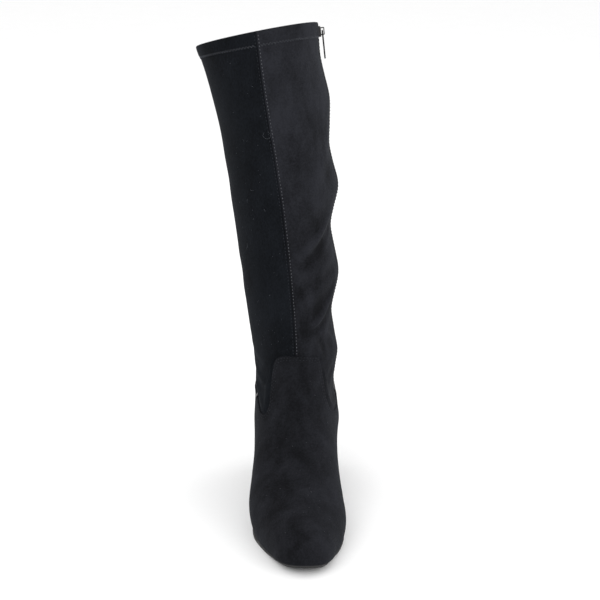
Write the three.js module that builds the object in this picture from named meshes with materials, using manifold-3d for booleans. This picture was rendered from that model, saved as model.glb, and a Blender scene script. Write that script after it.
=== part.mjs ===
// Knee-high boot for the right foot, EU 38: medial zip, stretch outer panel, covered block heel.
// Millimetres, +Z up, toe towards -Y, inner (zip) side towards +X.
// The origin is on the floor under the middle of the heel.
import * as THREE from "three";
import { mergeVertices } from "three/addons/utils/BufferGeometryUtils.js";
import Module from "manifold-3d";

const wasm = await Module();
wasm.setup();

// ---- Driving sizes ----
const HEEL_CENTRE = 222; // from the toe tip back to the middle of the heel
const WALL = 2.0; // suede with its lining
const GAP = 0.3; // between pieces that meet
const OUTSOLE_FRONT = 4.6; // outsole thickness under the forefoot
const OUTSOLE_WAIST = 3.2; // outsole thickness under waist and heel
const OUTSOLE_MARGIN = 0.9; // how far the outsole stands out past the upper
const INSOLE_THICKNESS = 2.6;
const TOP_PIECE = 6.0; // rubber wear piece under the heel
const HEEL_TAPER = 0.86; // foot of the heel against its top, in plan
const ZIP_TURN = 0.5; // the zip runs half way round the inner side
const ZIP_SLOT = 0.021; // half the width between the two suede edges, as a turn
const TAPE_HALF = 0.0155;
const TEETH_HALF = 0.0095;
const TAPE_DEPTH = [0.6, 1.5]; // outer and inner face under the suede's surface
const TEETH_DEPTH = [-0.9, 0.3];
const STOP_DEPTH = [-1.3, 0.3];
const TRIM_DEPTH = [-1.3, -0.5];
const SEAM_GAP = 0.55; // between foot and shaft, a little more because both edges are faceted
const SEAM_TURN = 0.0009; // half a seam gap, as a turn

// ---- Sections of the last and shaft, in order from toe tip to collar ----
// Each section is a line in the side view, from its bottom or back end to its top or front end, in mm
// behind the toe tip and above the floor. centre is the middle plane's place, + towards the inner side;
// outer and inner are the half widths; under is how far the side turns under, in degrees, and 90 closes
// the section at the back; round is the superellipse power; tilt lifts the inner side, mm for each mm;
// swing moves the middle of each side down the section, so that the half-way line runs straight up.
const SECTION_COLUMNS = [
  "backAt", "backUp", "frontAt", "frontUp", "centre", "outer", "inner", "under", "round", "tilt", "swing",
];
const SECTIONS = {
  toeTip: [0, 12, 1.5, 22.5, 7.2, 0, 0, 20, 2.2, 0, 0],
  toeNose: [2, 11.4, 3.5, 27, 7, 10.8, 12.2, 20, 2.25, 0, 0],
  toeCap: [8, 10, 9, 32, 6.6, 19.6, 21, 20, 2.3, 0, 0],
  toeBox: [18, 8.2, 19.5, 37.5, 5.9, 26, 27.2, 20, 2.3, 0, 0],
  toes: [32, 6.3, 34, 43, 5, 31.6, 32.4, 20, 2.25, 0, 0],
  toeRoots: [50, 4.9, 53.5, 49.5, 4, 38.8, 39.2, 21, 2.15, 0, 0],
  ballFront: [72, 4.7, 75, 59, 2.8, 45.6, 43.8, 22, 2.05, 0, 0],
  ball: [95, 5.6, 95.5, 73, 1.6, 47.6, 43.2, 25, 1.95, 0, 0.02],
  waistFront: [120, 11, 113, 91.5, 0.4, 44.6, 41.4, 31, 1.9, 0, 0.05],
  waist: [147, 21.5, 126, 109.5, -0.6, 41.4, 40.4, 38, 1.9, 0, 0.09],
  arch: [175, 32.5, 135, 125, -1, 41, 40.8, 40, 1.9, 0, 0.12],
  heelFront: [201, 40, 140, 136.5, -1.3, 41.2, 41.4, 41, 1.9, 0, 0.125],
  heelSeat: [222, 43.6, 142.6, 145, -1.5, 40.8, 41, 44, 1.95, 0, 0.11],
  heelRound: [238, 45, 144, 152, -1.7, 40.2, 40.8, 54, 2, 0, 0.057],
  heelTurn: [248, 45.6, 144.8, 158.5, -1.8, 40, 40.6, 69, 2, 0, 0.011],
  heelBack: [252, 47.5, 145.2, 164.5, -2, 39.4, 40.6, 90, 2, 0, -0.035],
  counter: [254, 58, 145.6, 172.5, -2.3, 38.8, 40.6, 90, 2, 0, -0.035],
  counterTop: [254, 73, 146, 182, -2.8, 38.8, 40.4, 90, 2, 0, -0.025],
  ankleLow: [250, 92, 146.2, 193, -3.4, 39.4, 40.8, 90, 2, 0, -0.015],
  ankle: [245, 112, 146.4, 206, -4.4, 40.4, 41.2, 90, 2, 0, -0.005],
  ankleTop: [241.5, 134, 146.4, 222, -5.7, 41.6, 42.2, 90, 2, 0, 0],
  shin: [241, 158, 146.2, 240, -7, 43, 43.6, 90, 2, 0, 0],
  calfLow: [244, 186, 146, 261, -9, 44.2, 45.4, 90, 2, 0, 0],
  calfUnder: [250, 217, 146, 284, -11.5, 45.2, 47.8, 90, 2, 0, 0],
  calfMid: [257, 250, 146.2, 308, -14.3, 46.2, 50.4, 90, 2, 0, 0],
  calf: [263.5, 284, 146.8, 332, -17.6, 47, 53.2, 90, 2, 0, 0],
  calfFull: [268, 318, 147.4, 357, -21.4, 47.4, 55.6, 90, 2, 0, 0],
  calfOver: [270.5, 352, 148.4, 383, -25.6, 47.8, 57, 90, 2, 0.02, 0],
  shaftTop: [272, 386, 149.8, 412, -30, 50, 57.4, 90, 2, 0.07, 0],
  hem: [272, 416, 151.2, 441.5, -33.8, 53, 56.4, 90, 2, 0.14, 0],
  collar: [272, 441, 152.6, 468, -36.8, 57.2, 55.6, 90, 2, 0.2, 0],
};
const NAMES = Object.keys(SECTIONS);
const COLLAR = NAMES.length - 1;
const HEEL_BACK = NAMES.indexOf("heelBack");
const HEEL_FRONT = NAMES.indexOf("heelFront");
const SIDE_COLUMNS = ["outer", "inner"].map((column) => SECTION_COLUMNS.indexOf(column));

// Soft folds down the zip side: height above the floor, how far the fold stands out, its half height.
const FOLD_COLUMNS = ["height", "out", "spread"];
const FOLDS = [
  [82, 1.8, 12],
  [115, -2.2, 12],
  [147, 2.6, 14],
  [190, -3, 16],
  [229, 3.8, 17],
  [274, -3.8, 17],
  [314, 4, 15],
  [352, -2.4, 15],
  [394, 2.4, 15],
  [430, -1, 12],
];
const FOLD_REACH = 46; // how far a fold runs forward and back of the zip, mm
const ZIP_LINE = [
  // height above the floor, mm behind the toe tip
  [60, 182],
  [150, 192],
  [230, 196],
  [400, 208],
  [480, 210],
];

// The seam where the foot's leather meets the shaft: turn from the front middle line, then the section
// that it reaches on the outer and on the inner side. It makes the tongue, the lobes and the counter.
const SEAM_COLUMNS = ["turn", "outerAt", "innerAt"];
const SEAM = [
  [0, 14, 14],
  [0.07, 14.1, 14.1],
  [0.14, 14.3, 14.4],
  [0.18, 14.15, 14.8],
  [0.205, 13.2, 14.7],
  [0.225, 11.15, 14.3],
  [0.245, 9.95, 13.2],
  [0.27, 9.7, 10.8],
  [0.305, 9.6, 10.25],
  [0.35, 10.1, 10.2],
  [0.387, 11.65, 10.45],
  [0.43, 12.5, 11],
  [0.479, 13.4, 11.95],
  [0.521, 15.05, 12.8],
  [0.545, 15.55, 13.6],
  [0.57, 16.05, 15.25],
  [0.605, 16.65, 16.1],
  [0.64, 17.15, 16.8],
  [0.72, 17.9, 17.75],
  [0.8, 18.4, 18.35],
  [0.87, 18.7, 18.7],
  [0.94, 18.9, 18.9],
  [1, 19, 19],
];

// ---- Numbers from the tables ----

// A smooth curve's value, for a row of four neighbouring values and a place between the middle two.
function between(before, from, to, after, f) {
  const slope = -before + to;
  const bend = 2 * before - 5 * from + 4 * to - after;
  const twist = -before + 3 * from - 3 * to + after;
  return 0.5 * (2 * from + slope * f + bend * f * f + twist * f * f * f);
}

// The section at any place along the boot: 0 is the toe tip and COLLAR is the collar.
function sectionAt(place) {
  const rows = NAMES.map((name) => SECTIONS[name]);
  const i = Math.min(Math.max(Math.floor(place), 0), COLLAR - 1);
  const mirrored = rows[1].map((v, k) => (SIDE_COLUMNS.includes(k) ? -v : v));
  const beyond = rows[COLLAR].map((v, k) => 2 * v - rows[COLLAR - 1][k]);
  const pick = (k) => (k < 0 ? mirrored : k > COLLAR ? beyond : rows[k]);
  const near = [pick(i - 1), pick(i), pick(i + 1), pick(i + 2)];
  const section = {};
  SECTION_COLUMNS.forEach((column, k) => {
    section[column] = between(near[0][k], near[1][k], near[2][k], near[3][k], place - i);
  });
  section.under = Math.min(section.under, 90);
  return section;
}

// A value read from a table of [x, ..., y] rows, straight between rows.
function lookUp(table, x, column) {
  const last = table.length - 1;
  if (x <= table[0][0]) return table[0][column];
  if (x >= table[last][0]) return table[last][column];
  const i = table.findIndex((row) => row[0] > x);
  const f = (x - table[i - 1][0]) / (table[i][0] - table[i - 1][0]);
  return table[i - 1][column] + f * (table[i][column] - table[i - 1][column]);
}

// How far the folds push the inner side out, at a point of the side view.
function foldOut(at, up) {
  const reach = Math.min(Math.abs(at - lookUp(ZIP_LINE, up, 1)) / FOLD_REACH, 1);
  const sum = FOLDS.reduce((total, fold) => {
    const off = (up - fold[FOLD_COLUMNS.indexOf("height")]) / fold[FOLD_COLUMNS.indexOf("spread")];
    return total + fold[FOLD_COLUMNS.indexOf("out")] * Math.exp(-off * off);
  }, 0);
  return sum * Math.cos((reach * Math.PI) / 2) ** 2;
}

// A point of the boot's outer surface. place runs from toe tip to collar. turn runs from -1, the
// bottom or back on the outer side, over 0, the front middle line, to +1 on the inner side.
function skinPoint(place, turn) {
  const s = sectionAt(place);
  const under = THREE.MathUtils.degToRad(s.under);
  const swung = Math.abs(turn) + s.swing * Math.sin(Math.PI * turn) ** 2;
  const lift = Math.PI / 2 - swung * (Math.PI / 2 + under);
  const power = 2 / s.round;
  const low = Math.sin(under) / (1 + Math.sin(under));
  const rise = Math.abs(Math.sin(lift)) ** power;
  const along = lift >= 0 ? low + (1 - low) * rise : low - (low * rise) / Math.sin(under) ** power;
  const half = (turn < 0 ? s.outer : s.inner) * Math.max(Math.cos(lift), 0) ** power;
  const at = s.backAt + (s.frontAt - s.backAt) * along;
  const up = s.backUp + (s.frontUp - s.backUp) * along;
  const across = s.centre + Math.sign(turn) * half + (turn > 0 ? foldOut(at, up) : 0);
  return new THREE.Vector3(across, at - HEEL_CENTRE, up + s.tilt * (across - s.centre));
}

// The outward normal there, from two short steps along the surface.
function skinNormal(place, turn) {
  const step = 0.01;
  const fore = Math.max(place - step, 0);
  const aft = Math.min(place + step, COLLAR);
  const along = skinPoint(aft, turn).sub(skinPoint(fore, turn));
  const left = turn - step < -1 ? turn : turn - step;
  const right = turn + step > 1 ? turn : turn + step;
  const around = skinPoint(place, right).sub(skinPoint(place, left));
  const normal = around.cross(along).normalize();
  if (place === 0 || (place >= HEEL_BACK && Math.abs(turn) === 1)) normal.x = 0;
  return normal.normalize();
}

// A point some way under the skin. Where the two sides meet, both take the outer side's point.
function deepPoint(place, turn, depth) {
  const closed = place === 0 || (place >= HEEL_BACK && Math.abs(turn) === 1);
  const side = closed ? -Math.abs(turn) : turn;
  return skinPoint(place, side).addScaledVector(skinNormal(place, side), -depth);
}

// ---- Making meshes ----

// A closed mesh from faces given as loops of three or four points.
function closedMesh(name, faces, look) {
  const points = [];
  faces.forEach((face) => {
    for (let k = 2; k < face.length; k++) points.push(face[0], face[k - 1], face[k]);
  });
  const loose = new THREE.BufferGeometry().setFromPoints(points);
  const welded = mergeVertices(loose, 2e-3);
  const index = welded.index.array;
  const kept = [];
  for (let k = 0; k < index.length; k += 3) {
    const [a, b, c] = [index[k], index[k + 1], index[k + 2]];
    if (a !== b && b !== c && c !== a) kept.push(a, b, c);
  }
  welded.setIndex(kept);
  welded.computeVertexNormals();
  const mesh = new THREE.Mesh(welded, look);
  mesh.name = name;
  return mesh;
}

// A wall between two depths under the skin: turns is its list of columns, and rows(turn) its places.
function wall(name, turns, rows, [outerDepth, innerDepth], look) {
  const outer = turns.map((turn) => rows(turn).map((place) => deepPoint(place, turn, outerDepth)));
  const inner = turns.map((turn) => rows(turn).map((place) => deepPoint(place, turn, innerDepth)));
  const faces = [];
  const lastRow = outer[0].length - 1;
  const lastTurn = turns.length - 1;
  for (let j = 0; j < lastTurn; j++) {
    for (let i = 0; i < lastRow; i++) {
      faces.push([outer[j][i], outer[j + 1][i], outer[j + 1][i + 1], outer[j][i + 1]]);
      faces.push([inner[j][i], inner[j][i + 1], inner[j + 1][i + 1], inner[j + 1][i]]);
    }
    faces.push([outer[j][lastRow], outer[j + 1][lastRow], inner[j + 1][lastRow], inner[j][lastRow]]);
    faces.push([outer[j + 1][0], outer[j][0], inner[j][0], inner[j + 1][0]]);
  }
  for (let i = 0; i < lastRow; i++) {
    faces.push([outer[0][i], outer[0][i + 1], inner[0][i + 1], inner[0][i]]);
    const end = lastTurn;
    faces.push([outer[end][i + 1], outer[end][i], inner[end][i], inner[end][i + 1]]);
  }
  return closedMesh(name, dropTwins(faces), look);
}

// Leaves out each pair of faces on the same points that look opposite ways, where a wall meets itself.
function dropTwins(faces) {
  const keyOf = (face) =>
    face
      .map((p) => [p.x, p.y, p.z].map((v) => Math.round(v * 200) / 200 + 0).join(","))
      .sort()
      .join(";");
  const seen = new Map();
  faces.forEach((face) => seen.set(keyOf(face), (seen.get(keyOf(face)) || 0) + 1));
  return faces.filter((face) => seen.get(keyOf(face)) === 1);
}

// A slab through rings of equal size, top ring first. A ring lists its outer and its inner side points
// from front to back.
function slab(name, rings, look) {
  const loops = rings.map((ring) => [...ring.outer, ...[...ring.inner].reverse()]);
  const faces = [];
  for (let k = 1; k < loops.length; k++) {
    const [upper, lower] = [loops[k - 1], loops[k]];
    upper.forEach((point, i) => {
      const next = (i + 1) % upper.length;
      faces.push([point, upper[next], lower[next], lower[i]]);
    });
  }
  const [top, bottom] = [rings[0], rings[rings.length - 1]];
  for (let i = 1; i < top.outer.length; i++) {
    faces.push([top.outer[i - 1], top.inner[i - 1], top.inner[i], top.outer[i]]);
    faces.push([bottom.outer[i], bottom.inner[i], bottom.inner[i - 1], bottom.outer[i - 1]]);
  }
  return closedMesh(name, faces, look);
}

const look = (color, roughness, metalness = 0) =>
  new THREE.MeshStandardMaterial({ color, roughness, metalness });
const SUEDE = look(0x26272b, 0.9);
const VELVET = look(0x1c1d21, 0.85);
const RUBBER = look(0x1a1a1b, 0.6);
const HEEL_COVER = look(0x202124, 0.7);
const LINING = look(0x2a2a2c, 0.8);
const TAPE = look(0x131314, 0.8);
const GUNMETAL = look(0x3a3b3e, 0.35, 1);
const STEEL = look(0xb9bbbd, 0.3, 1);

const boot = new THREE.Group();

// ---- Foot and shaft ----
const HALF_TURNS = SEAM.map((row) => row[0]);
const ALL_TURNS = [...HALF_TURNS.slice(1).map((turn) => -turn).reverse(), ...HALF_TURNS];
const FOOT_STEPS = [0, 0.35, 0.75, 1.25, 2, 3, 4, 5, 6, 7, 8, 9, 10, 11, 12, 13, 14, 15, 16, 17.5, 19];
const FOOT_EVEN = 8; // up to this section every column has its rows at the same places
const SHAFT_EVEN = 20; // and from this section up, on the shaft
const SHAFT_LOW_STEPS = 12;
const SHAFT_HIGH_STEPS = 20;

// The section that the seam reaches at any turn.
function seamPlace(turn) {
  return lookUp(SEAM, Math.abs(turn), SEAM_COLUMNS.indexOf(turn < 0 ? "outerAt" : "innerAt"));
}

// How far the shaft starts above the seam so that the two edges stay a gap apart.
function seamGap(turn) {
  const step = 0.01;
  const here = skinPoint(seamPlace(turn), turn);
  const upward = skinPoint(seamPlace(turn) + step, turn).sub(here);
  const next = Math.min(turn + step, 1);
  const back = Math.max(turn - step, -1);
  const edge = skinPoint(seamPlace(next), next).sub(skinPoint(seamPlace(back), back)).normalize();
  const square = upward.clone().addScaledVector(edge, -upward.dot(edge)).length();
  return (SEAM_GAP * step) / square;
}

// Evenly spaced places from one up to, but not with, another.
function evenly(from, to, steps) {
  return Array.from({ length: steps }, (_, i) => from + (i / steps) * (to - from));
}

// The places of the rows in one column of the foot, and then of the shaft.
function footRows(turn) {
  const last = FOOT_STEPS[FOOT_STEPS.length - 1];
  const stretch = (seamPlace(turn) - FOOT_EVEN) / (last - FOOT_EVEN);
  return FOOT_STEPS.map((step) => (step <= FOOT_EVEN ? step : FOOT_EVEN + (step - FOOT_EVEN) * stretch));
}

function shaftRows(turn) {
  const start = seamPlace(turn) + seamGap(turn);
  const low = evenly(start, SHAFT_EVEN, SHAFT_LOW_STEPS);
  return [...low, ...evenly(SHAFT_EVEN, COLLAR, SHAFT_HIGH_STEPS), COLLAR];
}

// The columns between two turns, with both ends.
function turnsBetween(from, to) {
  const margin = 0.004;
  return [from, ...ALL_TURNS.filter((turn) => turn > from + margin && turn < to - margin), to];
}

const zipFront = ZIP_TURN - ZIP_SLOT;
const zipBack = ZIP_TURN + ZIP_SLOT;
boot.add(wall("upper", ALL_TURNS, footRows, [0, WALL], SUEDE));
const panels = {
  shaft_outer_panel: [-1 + SEAM_TURN, -SEAM_TURN, VELVET],
  shaft_inner_front_panel: [SEAM_TURN, zipFront, SUEDE],
  shaft_inner_back_panel: [zipBack, 1 - SEAM_TURN, SUEDE],
};
for (const [name, [from, to, finish]] of Object.entries(panels)) {
  boot.add(wall(name, turnsBetween(from, to), shaftRows, [0, WALL], finish));
}

// ---- Sole and heel ----

const FOOTPRINT_PLACES = [
  0, 0.25, 0.5, 0.75, 1, 1.25, 1.5, 1.75, 2, 2.5, 3, 3.5, 4, 4.5, 5, 5.5, 6, 6.5, 7, 7.5, 8, 9, 10, 11, 12,
  13, 13.5, 14, 14.5, 15,
];

// Both sides of the line where the upper ends at the sole, moved out by a margin in plan, for sections
// from first to last. heightOf(place, feather) gives the height of the ring there.
function footprint(first, last, margin, heightOf) {
  const places = FOOTPRINT_PLACES.filter((place) => place >= first && place <= last);
  const side = (sign) =>
    places.map((place) => {
      const here = skinPoint(place, sign);
      const step = 0.02;
      const ahead = skinPoint(Math.min(place + step, HEEL_BACK), sign);
      const behind = skinPoint(Math.max(place - step, 0), sign);
      const way = ahead.sub(behind).setZ(0).normalize();
      const out = new THREE.Vector3(-way.y, way.x, 0).multiplyScalar(-sign);
      if (place === 0) out.set(0, -1, 0);
      if (place === HEEL_BACK) out.set(0, 1, 0);
      const point = here.clone().addScaledVector(out, margin);
      return point.setZ(heightOf(place, here.z));
    });
  return { outer: side(-1), inner: side(1) };
}

function outsoleThickness(place) {
  const toWaist = THREE.MathUtils.smoothstep(place, NAMES.indexOf("ball"), NAMES.indexOf("waist"));
  return THREE.MathUtils.lerp(OUTSOLE_FRONT, OUTSOLE_WAIST, toWaist);
}

// Heights of the outsole's two faces under the upper's lower edge, whose height is the feather.
function outsoleTop(place, feather) {
  return feather - GAP;
}

function outsoleUnderside(place, feather) {
  return Math.max(feather - GAP - outsoleThickness(place), 0);
}

const EDGE_ROUND = 0.9; // how far the outsole's lower edge is rounded back
const roundedUnderside = (place, feather) => outsoleUnderside(place, feather) + EDGE_ROUND;
boot.add(
  slab(
    "outsole",
    [
      footprint(0, HEEL_BACK, OUTSOLE_MARGIN, outsoleTop),
      footprint(0, HEEL_BACK, OUTSOLE_MARGIN, roundedUnderside),
      footprint(0, HEEL_BACK, OUTSOLE_MARGIN - EDGE_ROUND, outsoleUnderside),
    ],
    RUBBER,
  ),
);

const INSOLE_CLEAR = 1.8; // from the inside of the wall to the insole's edge
const INSOLE_MARGIN = -(WALL + INSOLE_CLEAR);
boot.add(
  slab(
    "insole",
    [
      footprint(0, HEEL_BACK, INSOLE_MARGIN, (place, feather) => feather + INSOLE_THICKNESS),
      footprint(0, HEEL_BACK, INSOLE_MARGIN, (place, feather) => feather),
    ],
    LINING,
  ),
);

const HEEL_MIDDLE = new THREE.Vector3(0, 2, 0); // the point in plan that the heel tapers towards
const HEEL_MARGIN = 0.3; // how far its top stands out past the upper
const HEEL_WAIST = 0.93; // share of the top's size at the waist's height
const HEEL_WAIST_HEIGHT = 24;

// A ring drawn in towards the middle of the heel and set at one height.
function drawnIn(ring, share, height) {
  const drawn = (point) => point.clone().sub(HEEL_MIDDLE).multiplyScalar(share).add(HEEL_MIDDLE);
  const move = (points) => points.map((point) => drawn(point).setZ(height));
  return { outer: move(ring.outer), inner: move(ring.inner) };
}

const heelTopHeight = (place, feather) => outsoleUnderside(place, feather) - GAP;
const heelTop = footprint(HEEL_FRONT, HEEL_BACK, HEEL_MARGIN, heelTopHeight);
const heelWaist = drawnIn(heelTop, HEEL_WAIST, HEEL_WAIST_HEIGHT);
const heelFoot = drawnIn(heelTop, HEEL_TAPER, TOP_PIECE + GAP);
boot.add(slab("heel", [heelTop, heelWaist, heelFoot], HEEL_COVER));
const topPieceRings = [drawnIn(heelTop, HEEL_TAPER, TOP_PIECE), drawnIn(heelTop, HEEL_TAPER, 0)];
boot.add(slab("heel_top_piece", topPieceRings, RUBBER));

// ---- Zip down the inner side ----
const ZIP_FOOT_CLEAR = 0.5; // sections between the seam and the end of the tape
const ZIP_HEAD = COLLAR - 0.12; // where the tape stops under the collar's edge
const SLIDER_AT = COLLAR - 0.25; // middle of the slider, at the top of its run
const SLIDER_REACH = 0.26; // half the slider's length, in sections
const ZIP_STEPS = 44;

const STOP_WIDER = 1.2; // the bottom stop's width against the teeth
const STOP_CLEAR = 0.05; // sections between the stop, the tape's end and the teeth

const zipFoot = seamPlace(ZIP_TURN) + ZIP_FOOT_CLEAR;
const zipPlaces = [...evenly(zipFoot, ZIP_HEAD, ZIP_STEPS), ZIP_HEAD];
const teethEnd = SLIDER_AT - SLIDER_REACH;
const teethPlaces = [...zipPlaces.slice(1).filter((place) => place < teethEnd), teethEnd];
const aboutTheZip = (...offsets) => offsets.map((offset) => ZIP_TURN + offset);
const tapeTurns = aboutTheZip(-TAPE_HALF, -TEETH_HALF, TEETH_HALF, TAPE_HALF);
const teethTurns = aboutTheZip(-TEETH_HALF, TEETH_HALF);
const stopTurns = aboutTheZip(-TEETH_HALF * STOP_WIDER, TEETH_HALF * STOP_WIDER);
const stopPlaces = [zipPlaces[0] + STOP_CLEAR, teethPlaces[0] - STOP_CLEAR];
boot.add(wall("zip_tape", tapeTurns, () => zipPlaces, TAPE_DEPTH, TAPE));
boot.add(wall("zip_teeth", teethTurns, () => teethPlaces, TEETH_DEPTH, TAPE));
boot.add(wall("zip_bottom_stop", stopTurns, () => stopPlaces, STOP_DEPTH, GUNMETAL));

// The slider's own frame: x out of the boot, y across the tape, z up along the zip.
const sliderFrame = new THREE.Group();
const SLIDER_STEP = 0.1; // sections to each side for the zip's direction
const sliderOut = skinNormal(SLIDER_AT, ZIP_TURN);
const zipAhead = skinPoint(SLIDER_AT + SLIDER_STEP, ZIP_TURN);
const upTheZip = zipAhead.sub(skinPoint(SLIDER_AT - SLIDER_STEP, ZIP_TURN)).normalize();
const acrossTape = upTheZip.clone().cross(sliderOut).normalize();
upTheZip.crossVectors(sliderOut, acrossTape);
sliderFrame.setRotationFromMatrix(new THREE.Matrix4().makeBasis(sliderOut, acrossTape, upTheZip));
sliderFrame.position.copy(skinPoint(SLIDER_AT, ZIP_TURN));
boot.add(sliderFrame);

// An outline drawn across the tape (x) and along the zip (y), made as thick as it stands out.
function standing(outline, from, to, bevel) {
  const geometry = new THREE.ExtrudeGeometry(outline, {
    depth: to - from - 2 * bevel,
    bevelSize: bevel,
    bevelThickness: bevel,
    bevelOffset: -bevel,
    bevelSegments: 1,
    curveSegments: 6,
  });
  const turned = new THREE.Matrix4().makeBasis(
    new THREE.Vector3(0, 1, 0),
    new THREE.Vector3(0, 0, 1),
    new THREE.Vector3(1, 0, 0),
  );
  return geometry.translate(0, 0, from + bevel).applyMatrix4(turned);
}

// A geometry as a solid that can be joined, and a solid as a named mesh.
function toSolid(geometry) {
  const bare = geometry.clone();
  bare.deleteAttribute("normal");
  bare.deleteAttribute("uv");
  const welded = mergeVertices(bare, 1e-4);
  const vertProperties = welded.attributes.position.array;
  const triVerts = new Uint32Array(welded.index.array);
  return new wasm.Manifold(new wasm.Mesh({ numProp: 3, vertProperties, triVerts }));
}

function toMesh(name, solid, finish) {
  const { vertProperties, triVerts } = solid.getMesh();
  const geometry = new THREE.BufferGeometry();
  geometry.setAttribute("position", new THREE.BufferAttribute(new Float32Array(vertProperties), 3));
  geometry.setIndex(new THREE.BufferAttribute(new Uint32Array(triVerts), 1));
  geometry.computeVertexNormals();
  const mesh = new THREE.Mesh(geometry, finish);
  mesh.name = name;
  return mesh;
}

// Slider: a shield over the teeth with a bridge that holds the pull.
const SLIDER_LENGTH = 9.6;
const SLIDER_HEAD = 8.2; // width at its top
const SLIDER_TAIL = 6.6; // width at its bottom
const SLIDER_TOP = 2.7; // how far its face stands out
const BRIDGE_HALF = 3.6; // half the bridge's length along the zip
const BRIDGE_TOP = 6.1;
const BRIDGE_BAR = 0.9; // thickness of the bridge's metal
const BRIDGE_WIDTH = 1.6; // across the tape
const BRIDGE_CORNER = 1; // its outer corners' curve
const BRIDGE_SUNK = 0.5; // how far its feet reach into the shield
const BRIDGE_FLOOR = 0.2; // from the shield's face up to the window
const PIN_OUT = 4.1; // where the pull's bar turns, out from the suede
const SLIDER_FACE = -0.2; // the shield's underside, just over the tape
const SLIDER_EDGE = 0.4; // the shield's bevel
const shield = new THREE.Shape();
shield.moveTo(-SLIDER_TAIL / 2, -SLIDER_LENGTH / 2);
shield.lineTo(SLIDER_TAIL / 2, -SLIDER_LENGTH / 2);
shield.lineTo(SLIDER_HEAD / 2, SLIDER_LENGTH / 4);
shield.quadraticCurveTo(SLIDER_HEAD / 2, SLIDER_LENGTH / 2, 0, SLIDER_LENGTH / 2);
shield.quadraticCurveTo(-SLIDER_HEAD / 2, SLIDER_LENGTH / 2, -SLIDER_HEAD / 2, SLIDER_LENGTH / 4);
let slider = toSolid(standing(shield, SLIDER_FACE, SLIDER_TOP, SLIDER_EDGE));

// The bridge is an arch seen from across the tape, drawn out (x) and up the zip (y).
const arch = new THREE.Shape();
arch.moveTo(SLIDER_TOP - BRIDGE_SUNK, -BRIDGE_HALF);
arch.lineTo(BRIDGE_TOP - BRIDGE_CORNER, -BRIDGE_HALF);
arch.quadraticCurveTo(BRIDGE_TOP, -BRIDGE_HALF, BRIDGE_TOP, -BRIDGE_HALF + BRIDGE_CORNER);
arch.lineTo(BRIDGE_TOP, BRIDGE_HALF - BRIDGE_CORNER);
arch.quadraticCurveTo(BRIDGE_TOP, BRIDGE_HALF, BRIDGE_TOP - BRIDGE_CORNER, BRIDGE_HALF);
arch.lineTo(SLIDER_TOP - BRIDGE_SUNK, BRIDGE_HALF);
const opening = new THREE.Path();
opening.moveTo(SLIDER_TOP + BRIDGE_FLOOR, -BRIDGE_HALF + BRIDGE_BAR);
opening.lineTo(SLIDER_TOP + BRIDGE_FLOOR, BRIDGE_HALF - BRIDGE_BAR);
opening.lineTo(BRIDGE_TOP - BRIDGE_BAR, BRIDGE_HALF - BRIDGE_BAR);
opening.lineTo(BRIDGE_TOP - BRIDGE_BAR, -BRIDGE_HALF + BRIDGE_BAR);
arch.holes.push(opening);
const bridgeSettings = { depth: BRIDGE_WIDTH, bevelEnabled: false, curveSegments: 4 };
const bridge = new THREE.ExtrudeGeometry(arch, bridgeSettings);
bridge.translate(0, 0, -BRIDGE_WIDTH / 2).rotateX(Math.PI / 2);
slider = slider.add(toSolid(bridge));
sliderFrame.add(toMesh("zip_slider", slider, GUNMETAL));

// Pull: a flat slotted tab that hangs from its bar in the bridge and ends in a thin tail.
const PULL_HALF = 2.6;
const PULL_THICK = 1.4;
const PULL_LEG = 1.25; // from the middle to the inner side of a leg
const PULL_WINDOW = 4.7; // from the bar's middle down to the end of the bridge's window
const PULL_SLOT = [6.2, 13.6]; // from the bar's middle to the slot's two ends
const SLOT_HALF = 1.1;
const PULL_SHOULDER = 15.5; // where the tab narrows to its tail
const SHOULDER_SLOPE = 1;
const TAIL_HALF = 1.1;
const PULL_LENGTH = 26;
const PULL_EDGE = 0.2; // bevel
const bar = PULL_THICK / 2;
const tab = new THREE.Shape();
tab.moveTo(-PULL_HALF, bar);
tab.lineTo(-PULL_HALF, -PULL_SHOULDER + SHOULDER_SLOPE);
tab.lineTo(-TAIL_HALF, -PULL_SHOULDER - SHOULDER_SLOPE);
tab.lineTo(-TAIL_HALF, -PULL_LENGTH + TAIL_HALF);
tab.absarc(0, -PULL_LENGTH + TAIL_HALF, TAIL_HALF, Math.PI, 2 * Math.PI, false);
tab.lineTo(TAIL_HALF, -PULL_SHOULDER - SHOULDER_SLOPE);
tab.lineTo(PULL_HALF, -PULL_SHOULDER + SHOULDER_SLOPE);
tab.lineTo(PULL_HALF, bar);

// Each hole of the tab: its top and bottom, from the bar's middle, and half its width.
const PULL_HOLES = [
  [bar, PULL_WINDOW, PULL_LEG],
  [...PULL_SLOT, SLOT_HALF],
];
for (const [top, bottom, half] of PULL_HOLES) {
  const hole = new THREE.Path();
  hole.moveTo(-half, -top);
  hole.lineTo(half, -top);
  hole.lineTo(half, -bottom);
  hole.lineTo(-half, -bottom);
  tab.holes.push(hole);
}
const pullGeometry = standing(tab, PIN_OUT - bar, PIN_OUT + bar, PULL_EDGE);
sliderFrame.add(toMesh("zip_pull", toSolid(pullGeometry), GUNMETAL));

// ---- Small plain metal trim where the outer lobe's seam ends ----
const TRIM_TURN = -0.387;
const TRIM_PLACE = 11.75;
const TRIM_HALF_TURN = 0.014;
const TRIM_HALF_PLACE = 0.12;
const trimTurns = [TRIM_TURN - TRIM_HALF_TURN, TRIM_TURN + TRIM_HALF_TURN];
const trimPlaces = [TRIM_PLACE - TRIM_HALF_PLACE, TRIM_PLACE + TRIM_HALF_PLACE];
boot.add(wall("ankle_trim", trimTurns, () => trimPlaces, TRIM_DEPTH, STEEL));

export default boot;
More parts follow.
